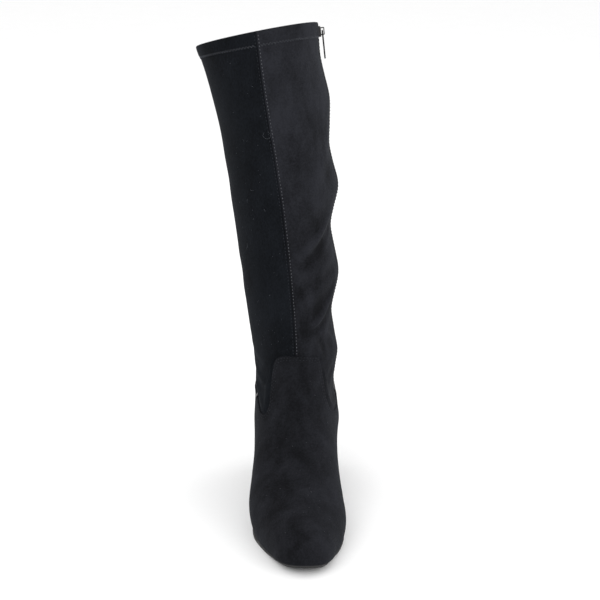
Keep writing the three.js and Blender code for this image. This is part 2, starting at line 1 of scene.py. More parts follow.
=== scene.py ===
"""Knee-high boot for the right foot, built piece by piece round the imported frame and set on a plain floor.

Sizes in the tables are millimetres: +Z up, toe towards -Y, inner (zip) side towards +X.
"""

import functools
import math

import bmesh
import bpy
import numpy as np
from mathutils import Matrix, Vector
from mathutils.kdtree import KDTree


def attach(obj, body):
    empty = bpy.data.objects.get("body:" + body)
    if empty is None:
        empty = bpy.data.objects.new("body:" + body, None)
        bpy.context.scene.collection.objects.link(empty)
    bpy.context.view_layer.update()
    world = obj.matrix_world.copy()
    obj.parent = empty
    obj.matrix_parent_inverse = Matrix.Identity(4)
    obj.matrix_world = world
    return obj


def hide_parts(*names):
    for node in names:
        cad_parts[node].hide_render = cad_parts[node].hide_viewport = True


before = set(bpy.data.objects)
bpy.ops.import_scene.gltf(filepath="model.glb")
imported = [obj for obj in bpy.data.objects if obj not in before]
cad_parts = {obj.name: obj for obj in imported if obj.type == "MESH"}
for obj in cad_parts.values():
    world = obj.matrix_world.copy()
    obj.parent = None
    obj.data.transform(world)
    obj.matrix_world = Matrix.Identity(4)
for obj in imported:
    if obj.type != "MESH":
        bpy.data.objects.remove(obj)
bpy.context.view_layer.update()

bl_info = {
    "name": "Knee-high boot maker",
    "version": (1, 0, 0),
    "blender": (4, 5, 0),
    "location": "3D View > Sidebar > Boot",
    "description": "Builds a suede knee-high boot with a stretch panel, a side zip and a block heel",
    "category": "Add Mesh",
}

MM = 0.001  # one mm in the scene's metres
METRE = 1000  # and one metre in mm

# ---- The last and shaft, section by section, from toe tip to collar ----
# A section is a line in the side view from its bottom or back end to its top or front end: mm behind the
# toe tip and mm above the floor. under is how far the side turns under, in degrees; round is the
# superellipse power; swing moves the middle of each side down the section.
COLUMNS = (
    "back_at", "back_up", "front_at", "front_up", "centre", "outer", "inner",
    "under", "round", "tilt", "swing",
)
SECTIONS = {
    "toe_tip": (0, 12, 1.5, 22.5, 7.2, 0, 0, 20, 2.2, 0, 0),
    "toe_nose": (2, 11.4, 3.5, 27, 7, 10.8, 12.2, 20, 2.25, 0, 0),
    "toe_cap": (8, 10, 9, 32, 6.6, 19.6, 21, 20, 2.3, 0, 0),
    "toe_box": (18, 8.2, 19.5, 37.5, 5.9, 26, 27.2, 20, 2.3, 0, 0),
    "toes": (32, 6.3, 34, 43, 5, 31.6, 32.4, 20, 2.25, 0, 0),
    "toe_roots": (50, 4.9, 53.5, 49.5, 4, 38.8, 39.2, 21, 2.15, 0, 0),
    "ball_front": (72, 4.7, 75, 59, 2.8, 45.6, 43.8, 22, 2.05, 0, 0),
    "ball": (95, 5.6, 95.5, 73, 1.6, 47.6, 43.2, 25, 1.95, 0, 0.02),
    "waist_front": (120, 11, 113, 91.5, 0.4, 44.6, 41.4, 31, 1.9, 0, 0.05),
    "waist": (147, 21.5, 126, 109.5, -0.6, 41.4, 40.4, 38, 1.9, 0, 0.09),
    "arch": (175, 32.5, 135, 125, -1, 41, 40.8, 40, 1.9, 0, 0.12),
    "heel_front": (201, 40, 140, 136.5, -1.3, 41.2, 41.4, 41, 1.9, 0, 0.125),
    "heel_seat": (222, 43.6, 142.6, 145, -1.5, 40.8, 41, 44, 1.95, 0, 0.11),
    "heel_round": (238, 45, 144, 152, -1.7, 40.2, 40.8, 54, 2, 0, 0.057),
    "heel_turn": (248, 45.6, 144.8, 158.5, -1.8, 40, 40.6, 69, 2, 0, 0.011),
    "heel_back": (252, 47.5, 145.2, 164.5, -2, 39.4, 40.6, 90, 2, 0, -0.035),
    "counter": (254, 58, 145.6, 172.5, -2.3, 38.8, 40.6, 90, 2, 0, -0.035),
    "counter_top": (254, 73, 146, 182, -2.8, 38.8, 40.4, 90, 2, 0, -0.025),
    "ankle_low": (250, 92, 146.2, 193, -3.4, 39.4, 40.8, 90, 2, 0, -0.015),
    "ankle": (245, 112, 146.4, 206, -4.4, 40.4, 41.2, 90, 2, 0, -0.005),
    "ankle_top": (241.5, 134, 146.4, 222, -5.7, 41.6, 42.2, 90, 2, 0, 0),
    "shin": (241, 158, 146.2, 240, -7, 43, 43.6, 90, 2, 0, 0),
    "calf_low": (244, 186, 146, 261, -9, 44.2, 45.4, 90, 2, 0, 0),
    "calf_under": (250, 217, 146, 284, -11.5, 45.2, 47.8, 90, 2, 0, 0),
    "calf_mid": (257, 250, 146.2, 308, -14.3, 46.2, 50.4, 90, 2, 0, 0),
    "calf": (263.5, 284, 146.8, 332, -17.6, 47, 53.2, 90, 2, 0, 0),
    "calf_full": (268, 318, 147.4, 357, -21.4, 47.4, 55.6, 90, 2, 0, 0),
    "calf_over": (270.5, 352, 148.4, 383, -25.6, 47.8, 57, 90, 2, 0.02, 0),
    "shaft_top": (272, 386, 149.8, 412, -30, 50, 57.4, 90, 2, 0.07, 0),
    "hem": (272, 416, 151.2, 441.5, -33.8, 53, 56.4, 90, 2, 0.14, 0),
    "collar": (272, 441, 152.6, 468, -36.8, 57.2, 55.6, 90, 2, 0.2, 0),
}
NAMES = list(SECTIONS)
COLLAR = len(NAMES) - 1
HEEL_FRONT = NAMES.index("heel_front")
HEEL_BACK = NAMES.index("heel_back")
HEEL_CENTRE = 222  # from the toe tip back to the middle of the heel
ROWS = np.array([SECTIONS[name] for name in NAMES], float)
NOSE_MIRROR = ROWS[1] * [-1 if name in ("outer", "inner") else 1 for name in COLUMNS]
SPLINE_ROWS = np.vstack([NOSE_MIRROR, ROWS, 2 * ROWS[-1] - ROWS[-2], 3 * ROWS[-1] - 2 * ROWS[-2]])

# Soft bulges and necks of the shaft down the zip: height, how far out, half height.
FOLDS = (
    (82, 1.8, 12), (115, -2.2, 12), (147, 2.6, 14), (190, -3, 16), (229, 3.8, 17),
    (274, -3.8, 17), (314, 4, 15), (352, -2.4, 15), (394, 2.4, 15), (430, -1, 12),
)
FOLD_REACH = 46  # mm fore and aft of the zip where the folds have died out
ZIP_LINE = ((60, 150, 230, 400, 480), (182, 192, 196, 208, 210))  # heights, mm behind the toe tip

# The seam where the foot's suede overlaps the shaft: turn from the front middle line, then the section it
# reaches on the outer and on the inner side.
SEAM = (
    (0, 14, 14), (0.07, 14.1, 14.1), (0.14, 14.3, 14.4), (0.18, 14.15, 14.8), (0.205, 13.2, 14.7),
    (0.225, 11.15, 14.3), (0.245, 9.95, 13.2), (0.27, 9.7, 10.8), (0.305, 9.6, 10.25), (0.35, 10.1, 10.2),
    (0.387, 11.65, 10.45), (0.43, 12.5, 11), (0.479, 13.4, 11.95), (0.521, 15.05, 12.8), (0.545, 15.55, 13.6),
    (0.57, 16.05, 15.25), (0.605, 16.65, 16.1), (0.64, 17.15, 16.8), (0.72, 17.9, 17.75), (0.8, 18.4, 18.35),
    (0.87, 18.7, 18.7), (0.94, 18.9, 18.9), (1, 19, 19),
)
SEAM_SOFTNESS = 0.006  # turns over which the seam's corners are rounded
ZIP_TURN = 0.5
ZIP_SLOT = 0.021  # half the width between the two suede edges, as a turn
TAPE_HALF = 0.0205  # half the tape's width, as a turn
ZIP_FOOT = 0.5  # sections from the foot's seam up to the zip's foot
SLIDER_AT = COLLAR - 0.25
SLIDER_REACH = 0.24  # sections from the slider's middle down to its tail
TAPE_HEAD = COLLAR - 0.1
HEM_PLACE = COLLAR - 0.44  # the line of stitching that holds the turned hem
HEM_STEP = 25.5  # mm from one section to the next at the hem
WALL = 2.0  # thickness of the panels
FOOT_ROWS = (1.7, 4.1)  # mm from the foot's folded edge to each of its two rows of stitches
FRONT_ROW = 1.7  # mm from the front seam to its row
BACK_ROW = 1.9
ZIP_ROW = 2.2
DEEPEST = 1.1  # mm that no trough goes past, so that none reaches the lining
SHAFT_START, VAMP_START = 9.0, 0.5  # the places from which the heights of creases are looked up

# Creases pressed into the shaft: the turn and height of each end and of the middle, how far the ridge
# stands out (a trough goes in), and its half width.
CREASES = (
    # turn, height, turn, height, turn, height, out, half width
    (0.42, 298, 0.23, 274, 0.05, 253, 1.5, 4.4),  # ridge below the calf's neck, drawn from the zip
    (0.38, 284, 0.22, 261, 0.06, 245, -1.2, 4.6),  # and the trough under it
    (0.38, 304, 0.24, 292, 0.12, 276, -0.6, 6.0),
    (0.16, 247, 0.10, 246, 0.05, 245, -0.7, 3.0),
    (0.42, 258, 0.26, 240, 0.13, 226, 0.9, 6.0),
    (0.22, 236, 0.12, 226, 0.03, 218, -1.0, 4.6),
    (0.36, 234, 0.24, 221, 0.12, 207, 0.8, 5.0),
    (0.42, 221, 0.25, 195, 0.10, 184, 1.7, 3.4),  # ridge above the ankle
    (0.38, 201, 0.22, 183, 0.03, 183, -1.3, 3.8),  # and its trough, down to the front seam
    (0.34, 222, 0.23, 207, 0.10, 198, -0.7, 4.6),
    (0.22, 182, 0.32, 171, 0.40, 158, 1.0, 3.4),  # short ridge that runs out to the zip
    (0.18, 175, 0.235, 166, 0.27, 156, -1.0, 2.8),  # short crease beside the tongue
    (0.42, 140, 0.34, 130, 0.29, 118, -0.7, 4.0),
    (0.42, 352, 0.32, 344, 0.22, 326, 0.7, 7.0),
    (0.40, 362, 0.27, 372, 0.18, 392, -0.6, 8.0),
    (0.44, 396, 0.30, 402, 0.20, 418, 0.5, 8.0),
    (0.60, 285, 0.72, 272, 0.84, 252, 1.2, 4.5),  # the same necks, drawn back from the zip
    (0.62, 268, 0.74, 254, 0.86, 232, -0.8, 5.0),
    (0.59, 204, 0.72, 190, 0.86, 172, 1.3, 4.2),
    (0.60, 188, 0.72, 172, 0.84, 156, -0.9, 4.6),
    (0.58, 354, 0.70, 344, 0.82, 326, 0.8, 7.0),
    (0.58, 140, 0.70, 134, 0.90, 128, 1.0, 4.0),
    (0.62, 124, 0.78, 120, 0.97, 118, -0.9, 3.6),
    (-0.28, 128, -0.38, 128, -0.52, 134, 1.1, 2.8),  # short wrinkles over the outer ankle
    (-0.28, 120, -0.40, 119, -0.56, 124, -0.9, 2.6),
    (-0.30, 142, -0.42, 141, -0.56, 148, -0.7, 3.6),
    (-0.55, 138, -0.72, 132, -0.92, 128, 1.1, 4.2),  # wrinkles over the heel cord
    (-0.60, 124, -0.76, 119, -0.97, 117, -0.9, 3.6),
    (-0.62, 156, -0.78, 150, -0.95, 148, -0.8, 5.0),
    (-0.55, 176, -0.70, 170, -0.88, 172, 0.6, 6.0),
    (-0.40, 240, -0.52, 228, -0.70, 224, -0.5, 9.0),
    (-0.35, 330, -0.50, 318, -0.68, 316, -0.4, 11.0),
)
# Shallow flexing lines over the toes and soft dents in the vamp, in the same columns.
VAMP_CREASES = (
    (-0.52, 22, -0.05, 60, 0.42, 26, -0.35, 3.2),
    (-0.42, 40, 0.04, 66, 0.50, 30, -0.3, 3.6),
    (-0.30, 74, 0.02, 90, 0.30, 78, -0.35, 9.0),
    (-0.60, 64, -0.68, 72, -0.80, 76, -0.3, 6.0),
    (0.58, 62, 0.66, 70, 0.78, 76, -0.3, 6.0),
)


# ---- Surface of the boot ----


def hump(distance, middle, width):
    """1 at the middle, dying out over about a width on both sides."""
    return np.exp(-(((distance - middle) / width) ** 2))


def section_at(place):
    """Every column of the section table at these places, smooth between rows."""
    first = np.clip(np.floor(place).astype(int), 0, COLLAR)
    f = (place - first)[..., None]
    a, b, c, d = (SPLINE_ROWS[first + k] for k in range(4))
    values = 0.5 * (2 * b + (c - a) * f + (2 * a - 5 * b + 4 * c - d) * f**2 + (3 * b - a - 3 * c + d) * f**3)
    return {name: values[..., k] for k, name in enumerate(COLUMNS)}


def fold_out(at, up):
    """How far the folds push the inner side out: most along the zip, nothing at the folds' reach."""
    reach = np.minimum(np.abs(at - np.interp(up, *ZIP_LINE)) / FOLD_REACH, 1)
    total = sum(out * hump(up, height, spread) for height, out, spread in FOLDS)
    return total * np.cos(reach * np.pi / 2) ** 2


def skin(place, turn):
    """Points of the outer surface, in mm. turn runs from -1, the outer side's bottom or back, over 0, the
    front middle line, to +1 on the inner side."""
    place, turn = np.broadcast_arrays(np.asarray(place, float), np.asarray(turn, float))
    s = section_at(place)
    under = np.radians(np.minimum(s["under"], 90))
    swung = np.abs(turn) + s["swing"] * np.sin(np.pi * turn) ** 2
    lift = np.pi / 2 - swung * (np.pi / 2 + under)
    power = 2 / s["round"]
    low = np.sin(under) / (1 + np.sin(under))
    rise = np.abs(np.sin(lift)) ** power
    along = np.where(lift >= 0, low + (1 - low) * rise, low - low * rise / np.sin(under) ** power)
    half = np.where(turn < 0, s["outer"], s["inner"]) * np.maximum(np.cos(lift), 0) ** power
    at = s["back_at"] + (s["front_at"] - s["back_at"]) * along
    up = s["back_up"] + (s["front_up"] - s["back_up"]) * along
    across = s["centre"] + np.sign(turn) * half + np.where(turn > 0, fold_out(at, up), 0)
    return np.stack([across, at - HEEL_CENTRE, up + s["tilt"] * (across - s["centre"])], -1)


def slopes(place, turn, step=0.01):
    """How a point moves for one section and for one turn."""
    fore, aft = np.maximum(place - step, 0), place + step
    left, right = np.maximum(turn - step, -1), np.minimum(turn + step, 1)
    per_place = (skin(aft, turn) - skin(fore, turn)) / (aft - fore)[..., None]
    per_turn = (skin(place, right) - skin(place, left)) / (right - left)[..., None]
    return per_place, per_turn


def unit(vectors):
    """The same vectors, one long."""
    return vectors / np.maximum(np.linalg.norm(vectors, axis=-1, keepdims=True), 1e-9)


def closes(place, turn):
    """Where the two sides meet in the middle plane: at the toe tip and up the back."""
    return (place <= 0) | ((place >= HEEL_BACK) & (np.abs(turn) >= 1))


def skin_normal(place, turn):
    """The outward way at points of the surface, kept in the middle plane where the two sides meet."""
    place, turn = np.broadcast_arrays(np.asarray(place, float), np.asarray(turn, float))
    side = np.where(closes(place, turn), -np.abs(turn), turn)
    per_place, per_turn = slopes(place, side)
    normal = np.cross(per_turn, per_place)
    normal[..., 0] = np.where(closes(place, turn), 0, normal[..., 0])
    return unit(normal)


def walk(place, turn, move, steps=4):
    """The place and turn reached from here by moving so many mm along the surface."""
    for _ in range(steps):
        per_place, per_turn = slopes(place, turn)
        pp = np.sum(per_place * per_place, -1)
        tt = np.sum(per_turn * per_turn, -1)
        pt = np.sum(per_place * per_turn, -1)
        mp = np.sum(move * per_place, -1) / steps
        mt = np.sum(move * per_turn, -1) / steps
        spread = pp * tt - pt * pt
        place = place + (tt * mp - pt * mt) / spread
        turn = turn + (pp * mt - pt * mp) / spread
    return place, turn


def seam_at(turn):
    """The section that the foot's seam reaches, with the table's corners rounded."""
    table = np.array(SEAM)
    nearby = [np.abs(np.abs(turn) + k * SEAM_SOFTNESS) for k in range(-2, 3)]

    def mean(column):
        return sum(np.interp(near, table[:, 0], table[:, column]) for near in nearby) / len(nearby)

    return np.where(turn < 0, mean(1), mean(2))


def height_to_place(turn, height, low=8.0):
    """The place on the shaft at one turn that lies at a height."""
    places = np.linspace(low, COLLAR, 400)
    return float(np.interp(height, skin(places, turn)[:, 2], places))


def nearest(points, line):
    """Each point's distance from a line of close points, and how far along it the nearest one is, 0 to 1."""
    tree = KDTree(len(line))
    for index, point in enumerate(line):
        tree.insert(point, index)
    tree.balance()
    found = [tree.find(point)[1:] for point in points]
    share, distance = np.array(found, float).reshape(-1, 2).T
    return distance, share / (len(line) - 1)


@functools.cache
def crease_line(crease, low):
    """A smooth line of surface points through a crease's two ends and its middle."""
    turns, heights = np.array(crease[0:6:2]), np.array(crease[1:6:2])
    f = np.linspace(0, 1, 33)
    bent = lambda v: v[0] * (1 - f) * (1 - 2 * f) + v[1] * 4 * f * (1 - f) + v[2] * f * (2 * f - 1)
    turn = bent(turns)
    places = [height_to_place(t, h, low) for t, h in zip(turn, bent(heights))]
    return skin(np.array(places), turn)


def creased(points, creases, low):
    """How far creases lift each point: a soft ridge or trough that dies out at both ends."""
    total = np.zeros(len(points))
    for crease in creases:
        line = crease_line(crease, low)
        out, width = crease[6], crease[7]
        centre = line.mean(0)
        reach = np.linalg.norm(line - centre, axis=1).max() + 4 * width
        near = np.flatnonzero(np.linalg.norm(points - centre, axis=1) < reach)
        if not len(near):
            continue
        distance, share = nearest(points[near], line)
        across = distance / width
        shape = hump(across, 0, 1) - 0.35 * hump(across, 2, 0.9)  # with a faint dip beside the ridge
        total[near] += out * shape * np.sin(np.pi * np.clip(share, 0, 1)) ** 0.6
    total = np.where(total < 0, DEEPEST * np.tanh(total / DEEPEST), total)
    return total * bpy.context.scene.boot_sizes.crease_depth


SEAM_TURNS = np.linspace(-1, 1, 1601)
SEAM_LINE = skin(seam_at(SEAM_TURNS), SEAM_TURNS)


def edge_roll(distance, depth, reach):
    """An edge that rounds over and dips by depth within reach."""
    return -depth * hump(np.maximum(distance, 0), 0, reach)


def foot_relief(place, turn):
    """Foot piece: its folded edge lies on the shaft, its stitch rows sink in, and the back has a seam."""
    points = skin(place, turn).reshape(-1, 3)
    place, turn = np.broadcast_to(place, turn.shape).ravel(), turn.ravel()
    far = 99.0  # mm, for points that no seam comes near
    near = np.flatnonzero(place > seam_at(turn) - 4.5)
    seam = np.full(len(points), far)
    seam[near] = nearest(points[near], SEAM_LINE)[0]
    lift = 0.75 * hump(seam, 0, 6.5) + edge_roll(seam, 1.5, 0.6)
    lift -= sum(0.22 * hump(seam, row, 0.5) for row in FOOT_ROWS)
    at_back = (place > HEEL_BACK - 0.8) & (np.abs(turn) > 0.8)
    back = np.where(at_back, np.abs(points[:, 0] - section_at(place)["centre"]), far)
    lift += 0.35 * hump(back, 0, 5) + edge_roll(back, 1.0, 0.7)
    return lift + creased(points, VAMP_CREASES, VAMP_START)


def shaft_relief(place, turn):
    """Shaft panels: creases, seams pressed in at the front and back, the turned hem, the edges beside the zip
    and the puff above the foot's seam."""
    points = skin(place, turn).reshape(-1, 3)
    place, turn = np.broadcast_to(place, turn.shape).ravel(), turn.ravel()
    per_turn = np.linalg.norm(slopes(place, turn)[1], axis=-1)
    front, back = np.abs(turn) * per_turn, (1 - np.abs(turn)) * per_turn
    lift = creased(points, CREASES, SHAFT_START)
    for seam in (front, back):
        lift += 0.3 * hump(seam, 1.6, 1.2) + edge_roll(seam, 0.7, 0.6)
    hem = (place - HEM_PLACE) * HEM_STEP  # mm above the hem's line of stitching, where the cloth is doubled
    lift += 0.75 / (1 + np.exp(-np.clip(hem, -100, None) / 0.45)) * (1 + 0.25 * np.sin(hem / 11.2 * np.pi))
    lift -= 0.4 * hump(hem, 0, 1.2)
    zip_edge = (np.abs(turn - ZIP_TURN) - ZIP_SLOT) * per_turn
    lift += edge_roll(zip_edge, 0.8, 0.7) + 0.3 * hump(zip_edge, 2, 1.6)
    near = np.flatnonzero(place < seam_at(turn) + 2)
    seam = nearest(points[near], SEAM_LINE)[0]
    puff = 0.8 * hump(seam, 6, 3.5) * (np.abs(turn[near]) < 0.45)
    lift[near] += puff - 0.5 * hump(seam, 0, 2.4)
    return lift


def lifted(place, turn, relief, depth=0.0):
    """Surface points raised by a relief and set under the skin by a depth."""
    place, turn = np.broadcast_arrays(np.asarray(place, float), np.asarray(turn, float))
    lift = relief(place, turn).reshape(place.shape) if relief else np.zeros(place.shape)
    side = np.where(closes(place, turn), -np.abs(turn), turn)
    return skin(place, side) + skin_normal(place, turn) * (lift - depth)[..., None]


# ---- Meshes ----


def make_object(name, points, faces, material, weld=0.0, crease=None):
    """A smooth mesh object from mm points and quads, riding on the boot. weld joins points that lie closer
    than so many mm. crease is how far creases lift each point, in mm, which the suede's colour follows as
    painted highlight on ridges and painted shade in troughs."""
    points = np.ascontiguousarray(points, dtype=float).reshape(-1, 3) * MM
    faces = np.ascontiguousarray(faces, dtype=np.int32)
    mesh = bpy.data.meshes.new(name)
    mesh.vertices.add(len(points))
    mesh.vertices.foreach_set("co", points.ravel())
    mesh.loops.add(faces.size)
    mesh.loops.foreach_set("vertex_index", faces.ravel())
    mesh.polygons.add(len(faces))
    mesh.polygons.foreach_set("loop_start", np.arange(0, faces.size, faces.shape[1], dtype=np.int32))
    mesh.polygons.foreach_set("use_smooth", np.ones(len(faces), bool))
    mesh.update(calc_edges=True)
    mesh.validate()
    # The crease lift is kept on the mesh for the suede's painted highlight on ridges and painted shade in
    # troughs.
    if crease is not None:
        crease_shading = np.zeros(len(points))
        crease_shading[: len(crease)] = crease
        mesh.attributes.new("crease", "FLOAT", "POINT").data.foreach_set("value", crease_shading)
    if weld:
        soft = bmesh.new()
        soft.from_mesh(mesh)
        bmesh.ops.remove_doubles(soft, verts=soft.verts, dist=weld * MM)
        soft.to_mesh(mesh)
        soft.free()
        mesh.update()
    mesh.materials.append(material)
    piece = bpy.data.objects.new(name, mesh)
    bpy.context.scene.collection.objects.link(piece)
    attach(piece, "boot")
    return piece


def grid_faces(rows, columns, start=0, wrap=False):
    """Quads of a grid of rows by columns, the last column joined to the first where wrap is set."""
    i, j = np.meshgrid(np.arange(rows - 1), np.arange(columns if wrap else columns - 1), indexing="ij")
    here, above = i * columns, (i + 1) * columns
    after = (j + 1) % columns
    return np.stack([here + j, here + after, above + after, above + j], -1).reshape(-1, 4) + start


FINE_TURNS = ((0.165, 0.275), (-0.275, -0.165), (-0.41, -0.36))  # beside the tongue, and the outer ankle


def spread_turns(start, end):
    """Columns about 1.2 mm apart between two turns, closer beside both ends and in the fine ranges."""
    count = max(int(abs(end - start) / 0.0068), 2)
    turns = [start + (end - start) * f for f in np.linspace(0, 1, count + 1)]
    edge = [0.0018, 0.0036, 0.0058, 0.0085, 0.0115, 0.0155]
    turns += [start + e for e in edge] + [end - e for e in edge]
    for low, high in FINE_TURNS:
        turns += list(np.arange(max(low, start), min(high, end), 0.0026))
    turns = np.array(sorted(turns))
    return turns[np.concatenate([[True], np.diff(turns) > 0.0008])]


def toward_seam(first, last, count, close_end):
    """Rows between two places for each column, closer together at the first or the last."""
    f = np.linspace(0, 1, count)
    f = 1 - (1 - f) ** 1.9 if close_end == "last" else f**1.9
    return first + (last - first) * f[:, None]


def foot_piece(material):
    """The foot in one cut of suede, up to its folded edge, which is tucked in behind."""
    turns = spread_turns(-1, 1)
    seam = seam_at(turns)
    nose = np.concatenate([np.linspace(0, 1, 16), np.linspace(1, 3, 18)[1:], np.linspace(3, 8, 76)[1:]])
    rows = np.vstack([np.repeat(nose[:, None], len(turns), 1), toward_seam(8.0, seam, 84, "last")[1:]])
    columns = np.broadcast_to(turns, rows.shape)
    outer = lifted(rows, columns, foot_relief)
    tucked = outer[-1] - skin_normal(rows[-1], turns) * 0.6
    points = np.concatenate([outer.reshape(-1, 3), tucked])
    faces = grid_faces(len(rows) + 1, len(turns))
    # Crease lift, which the suede's colour follows as painted highlight and painted shade.
    crease = creased(skin(rows, columns).reshape(-1, 3), VAMP_CREASES, VAMP_START)
    piece = make_object("foot_suede", points, faces, material, weld=0.02, crease=crease)
    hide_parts("upper")
    return piece


def shaft_panel(name, node, start, end, material):
    """One panel of the shaft: its face, its edge turned over the rim, and its hem inside."""
    turns = spread_turns(start, end)
    low = seam_at(turns) - 0.12
    below_hem = HEM_PLACE - 0.12
    calf = np.linspace(20, below_hem, 190)[1:, None]
    hem = np.linspace(below_hem, COLLAR, 34)[1:, None]
    straight = np.repeat(np.vstack([calf, hem]), len(turns), 1)
    rows = np.vstack([toward_seam(low, 20.0, 84, "first"), straight])
    columns = np.broadcast_to(turns, rows.shape)
    face = lifted(rows, columns, shaft_relief)
    inward, half = skin_normal(rows[-1], turns), (WALL + 0.5) / 2
    upward = unit(face[-1] - face[-3])
    angles = np.linspace(0.3, np.pi, 9)
    rim = [face[-1] + upward * math.sin(a) * half - inward * (1 - math.cos(a)) * half for a in angles]
    inside = [rim[-1] - upward * drop for drop in (1.5, 4, 7, 10, 11)]
    points = np.concatenate([face, np.array(rim + inside)])
    faces = grid_faces(len(points), len(turns))
    # Crease lift, which the suede's colour follows as painted highlight and painted shade.
    crease = creased(skin(rows, columns).reshape(-1, 3), CREASES, SHAFT_START)
    piece = make_object(name, points, faces, material, weld=0.02, crease=crease)
    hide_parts(node)
    return piece


def lining_piece(material):
    """Fabric lining of the foot and shaft, a little inside the suede, from the insole up to the hem."""
    turns = np.linspace(-1, 1, 121)
    toe, foot, shaft = np.linspace(0, 3, 16), np.linspace(3, 15, 60), np.linspace(15, COLLAR - 0.38, 90)
    place, turn = np.meshgrid(np.concatenate([toe, foot[1:], shaft[1:]]), turns, indexing="ij")
    inner = lifted(place, turn, None, 2.3)
    outer = lifted(place, turn, None, 1.9)
    points = np.concatenate([outer, inner[::-1]])
    return make_object("lining", points, grid_faces(len(points), len(turns)), material, weld=0.02)


def footprint(first, last, margin, count):
    """The line where the upper meets the sole, moved out in plan by a margin: its places, then its outer and
    its inner side, each from front to back."""
    f = np.linspace(0, 1, count)
    places = first + (last - first) * (f**1.5 if first == 0 else f)
    sides = []
    for sign in (-1.0, 1.0):
        here = skin(places, sign)
        way = skin(np.minimum(places + 0.02, HEEL_BACK), sign) - skin(np.maximum(places - 0.02, 0), sign)
        way[:, 2] = 0
        way = unit(way)
        out = np.stack([-way[:, 1], way[:, 0], 0 * places], -1) * -sign
        if first == 0:
            out[0] = (0, -1, 0)
        if last == HEEL_BACK:
            out[-1] = (0, 1, 0)
        sides.append(here + out * margin)
    return places, sides[0], sides[1]


GAP = 0.3  # mm between the upper and the sole under it
FORE_THICK, WAIST_THICK = 4.6, 3.2  # the outsole under the forefoot, and under waist and heel


def outsole_thickness(places):
    """Thick under the forefoot, and thinner from the waist back."""
    f = np.clip((places - 7) / 2, 0, 1)
    return FORE_THICK + (WAIST_THICK - FORE_THICK) * f * f * (3 - 2 * f)


def sole_floor(places, feather):
    """Height of the outsole's underside: it rests on the floor under the ball and rises to toe and heel."""
    free = feather - GAP - outsole_thickness(places)
    return 0.5 * (free + np.sqrt(free**2 + 0.5))


def outsole_piece(material):
    """Moulded outsole: its edge with a fine line round it, and the ribs of its tread under the forefoot."""
    count = 260
    # Each ring: mm that it stands out past the upper, height as a share of the thickness, and a lift in mm.
    profile = (
        (-2.5, 1, 0.5), (-0.4, 1, 0.55), (0.5, 1, 0.45), (0.95, 1, 0.0), (1.15, 0.86, 0), (1.15, 0.62, 0),
        (0.95, 0.55, 0), (0.95, 0.5, 0), (1.15, 0.42, 0), (1.1, 0.22, 0), (0.8, 0.08, 0), (0.2, 0.0, 0.0),
    )
    loops = []
    f = np.linspace(0, 1, count) ** 1.5 * HEEL_BACK
    toe = (1 - np.clip((f - 3) / 3, 0, 1))[:, None]  # here the edge is trimmed close and drawn in below
    for margin, share, extra in profile:
        drawn = np.where(margin > 0, margin * (1 - 0.8 * toe) - 4 * toe * (1 - share), margin)
        places, outer, inner = footprint(0, HEEL_BACK, drawn, count)
        for side in (outer, inner):
            top, bottom = side[:, 2] - GAP, sole_floor(places, side[:, 2])
            side[:, 2] = bottom + (top - bottom) * share + extra
        loops.append(np.concatenate([outer, inner[::-1]]))
    edge = np.array(loops)
    across = np.linspace(0, 1, 61)[:, None, None]
    outer, inner = edge[-1][:count], edge[-1][count:][::-1]
    under = outer + (inner - outer) * across
    ahead = under[..., 1] + HEEL_CENTRE
    side = under[..., 0] - 3
    rib_pitch, rib_height, first_rib, last_rib = 4.2, 0.7, 14, 118
    rib = np.clip(np.sin((ahead + 0.35 * np.abs(side)) / rib_pitch * 2 * np.pi) * 2.5, -1, 1)
    inset = np.clip(np.minimum(across[..., 0], 1 - across[..., 0]) * 12 - 1, 0, 1)
    tread = np.clip((ahead - first_rib) / 4, 0, 1) * np.clip((last_rib - ahead) / 4, 0, 1) * inset
    under[..., 2] += tread * (rib + 1) * rib_height / 2
    faces = [
        grid_faces(len(profile), 2 * count, wrap=True),
        grid_faces(61, count, edge[..., 0].size)[:, ::-1],
    ]
    points = np.concatenate([edge.reshape(-1, 3), under.reshape(-1, 3)])
    piece = make_object("outsole_moulded", points, np.concatenate(faces), material, weld=0.02)
    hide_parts("outsole")
    return piece


def rounded_loop(loop, times):
    """A closed outline with its corners worn round by averaging neighbours."""
    for _ in range(times):
        loop = (np.roll(loop, 1, 0) + 2 * loop + np.roll(loop, -1, 0)) / 4
    return loop


HEEL_RING = 300  # points round the heel
HEEL_MIDDLE = np.array([0, 2, 0])  # the heel is drawn in towards this point
HEEL_FOOT = 0.86  # size of the heel at its foot against its top


@functools.cache
def heel_edge():
    """The heel's outline in plan, with rounded corners at its breast, as high as the upper's lower edge."""
    _, outer, inner = footprint(HEEL_FRONT, HEEL_BACK, 0.3, 150)
    breast = inner[0] + (outer[0] - inner[0]) * np.linspace(0, 1, 82)[1:-1, None]
    loop = np.concatenate([outer, inner[::-1], breast])
    lengths = np.concatenate([[0], np.cumsum(np.linalg.norm(np.diff(loop, axis=0), axis=1))])
    even = np.linspace(0, lengths[-1], HEEL_RING, endpoint=False)
    return rounded_loop(np.stack([np.interp(even, lengths, loop[:, k]) for k in range(3)], -1), 24)


def heel_outline(shrink):
    """The heel's outline drawn in to a share of its size."""
    return HEEL_MIDDLE + (heel_edge() - HEEL_MIDDLE) * [shrink, shrink, 1]


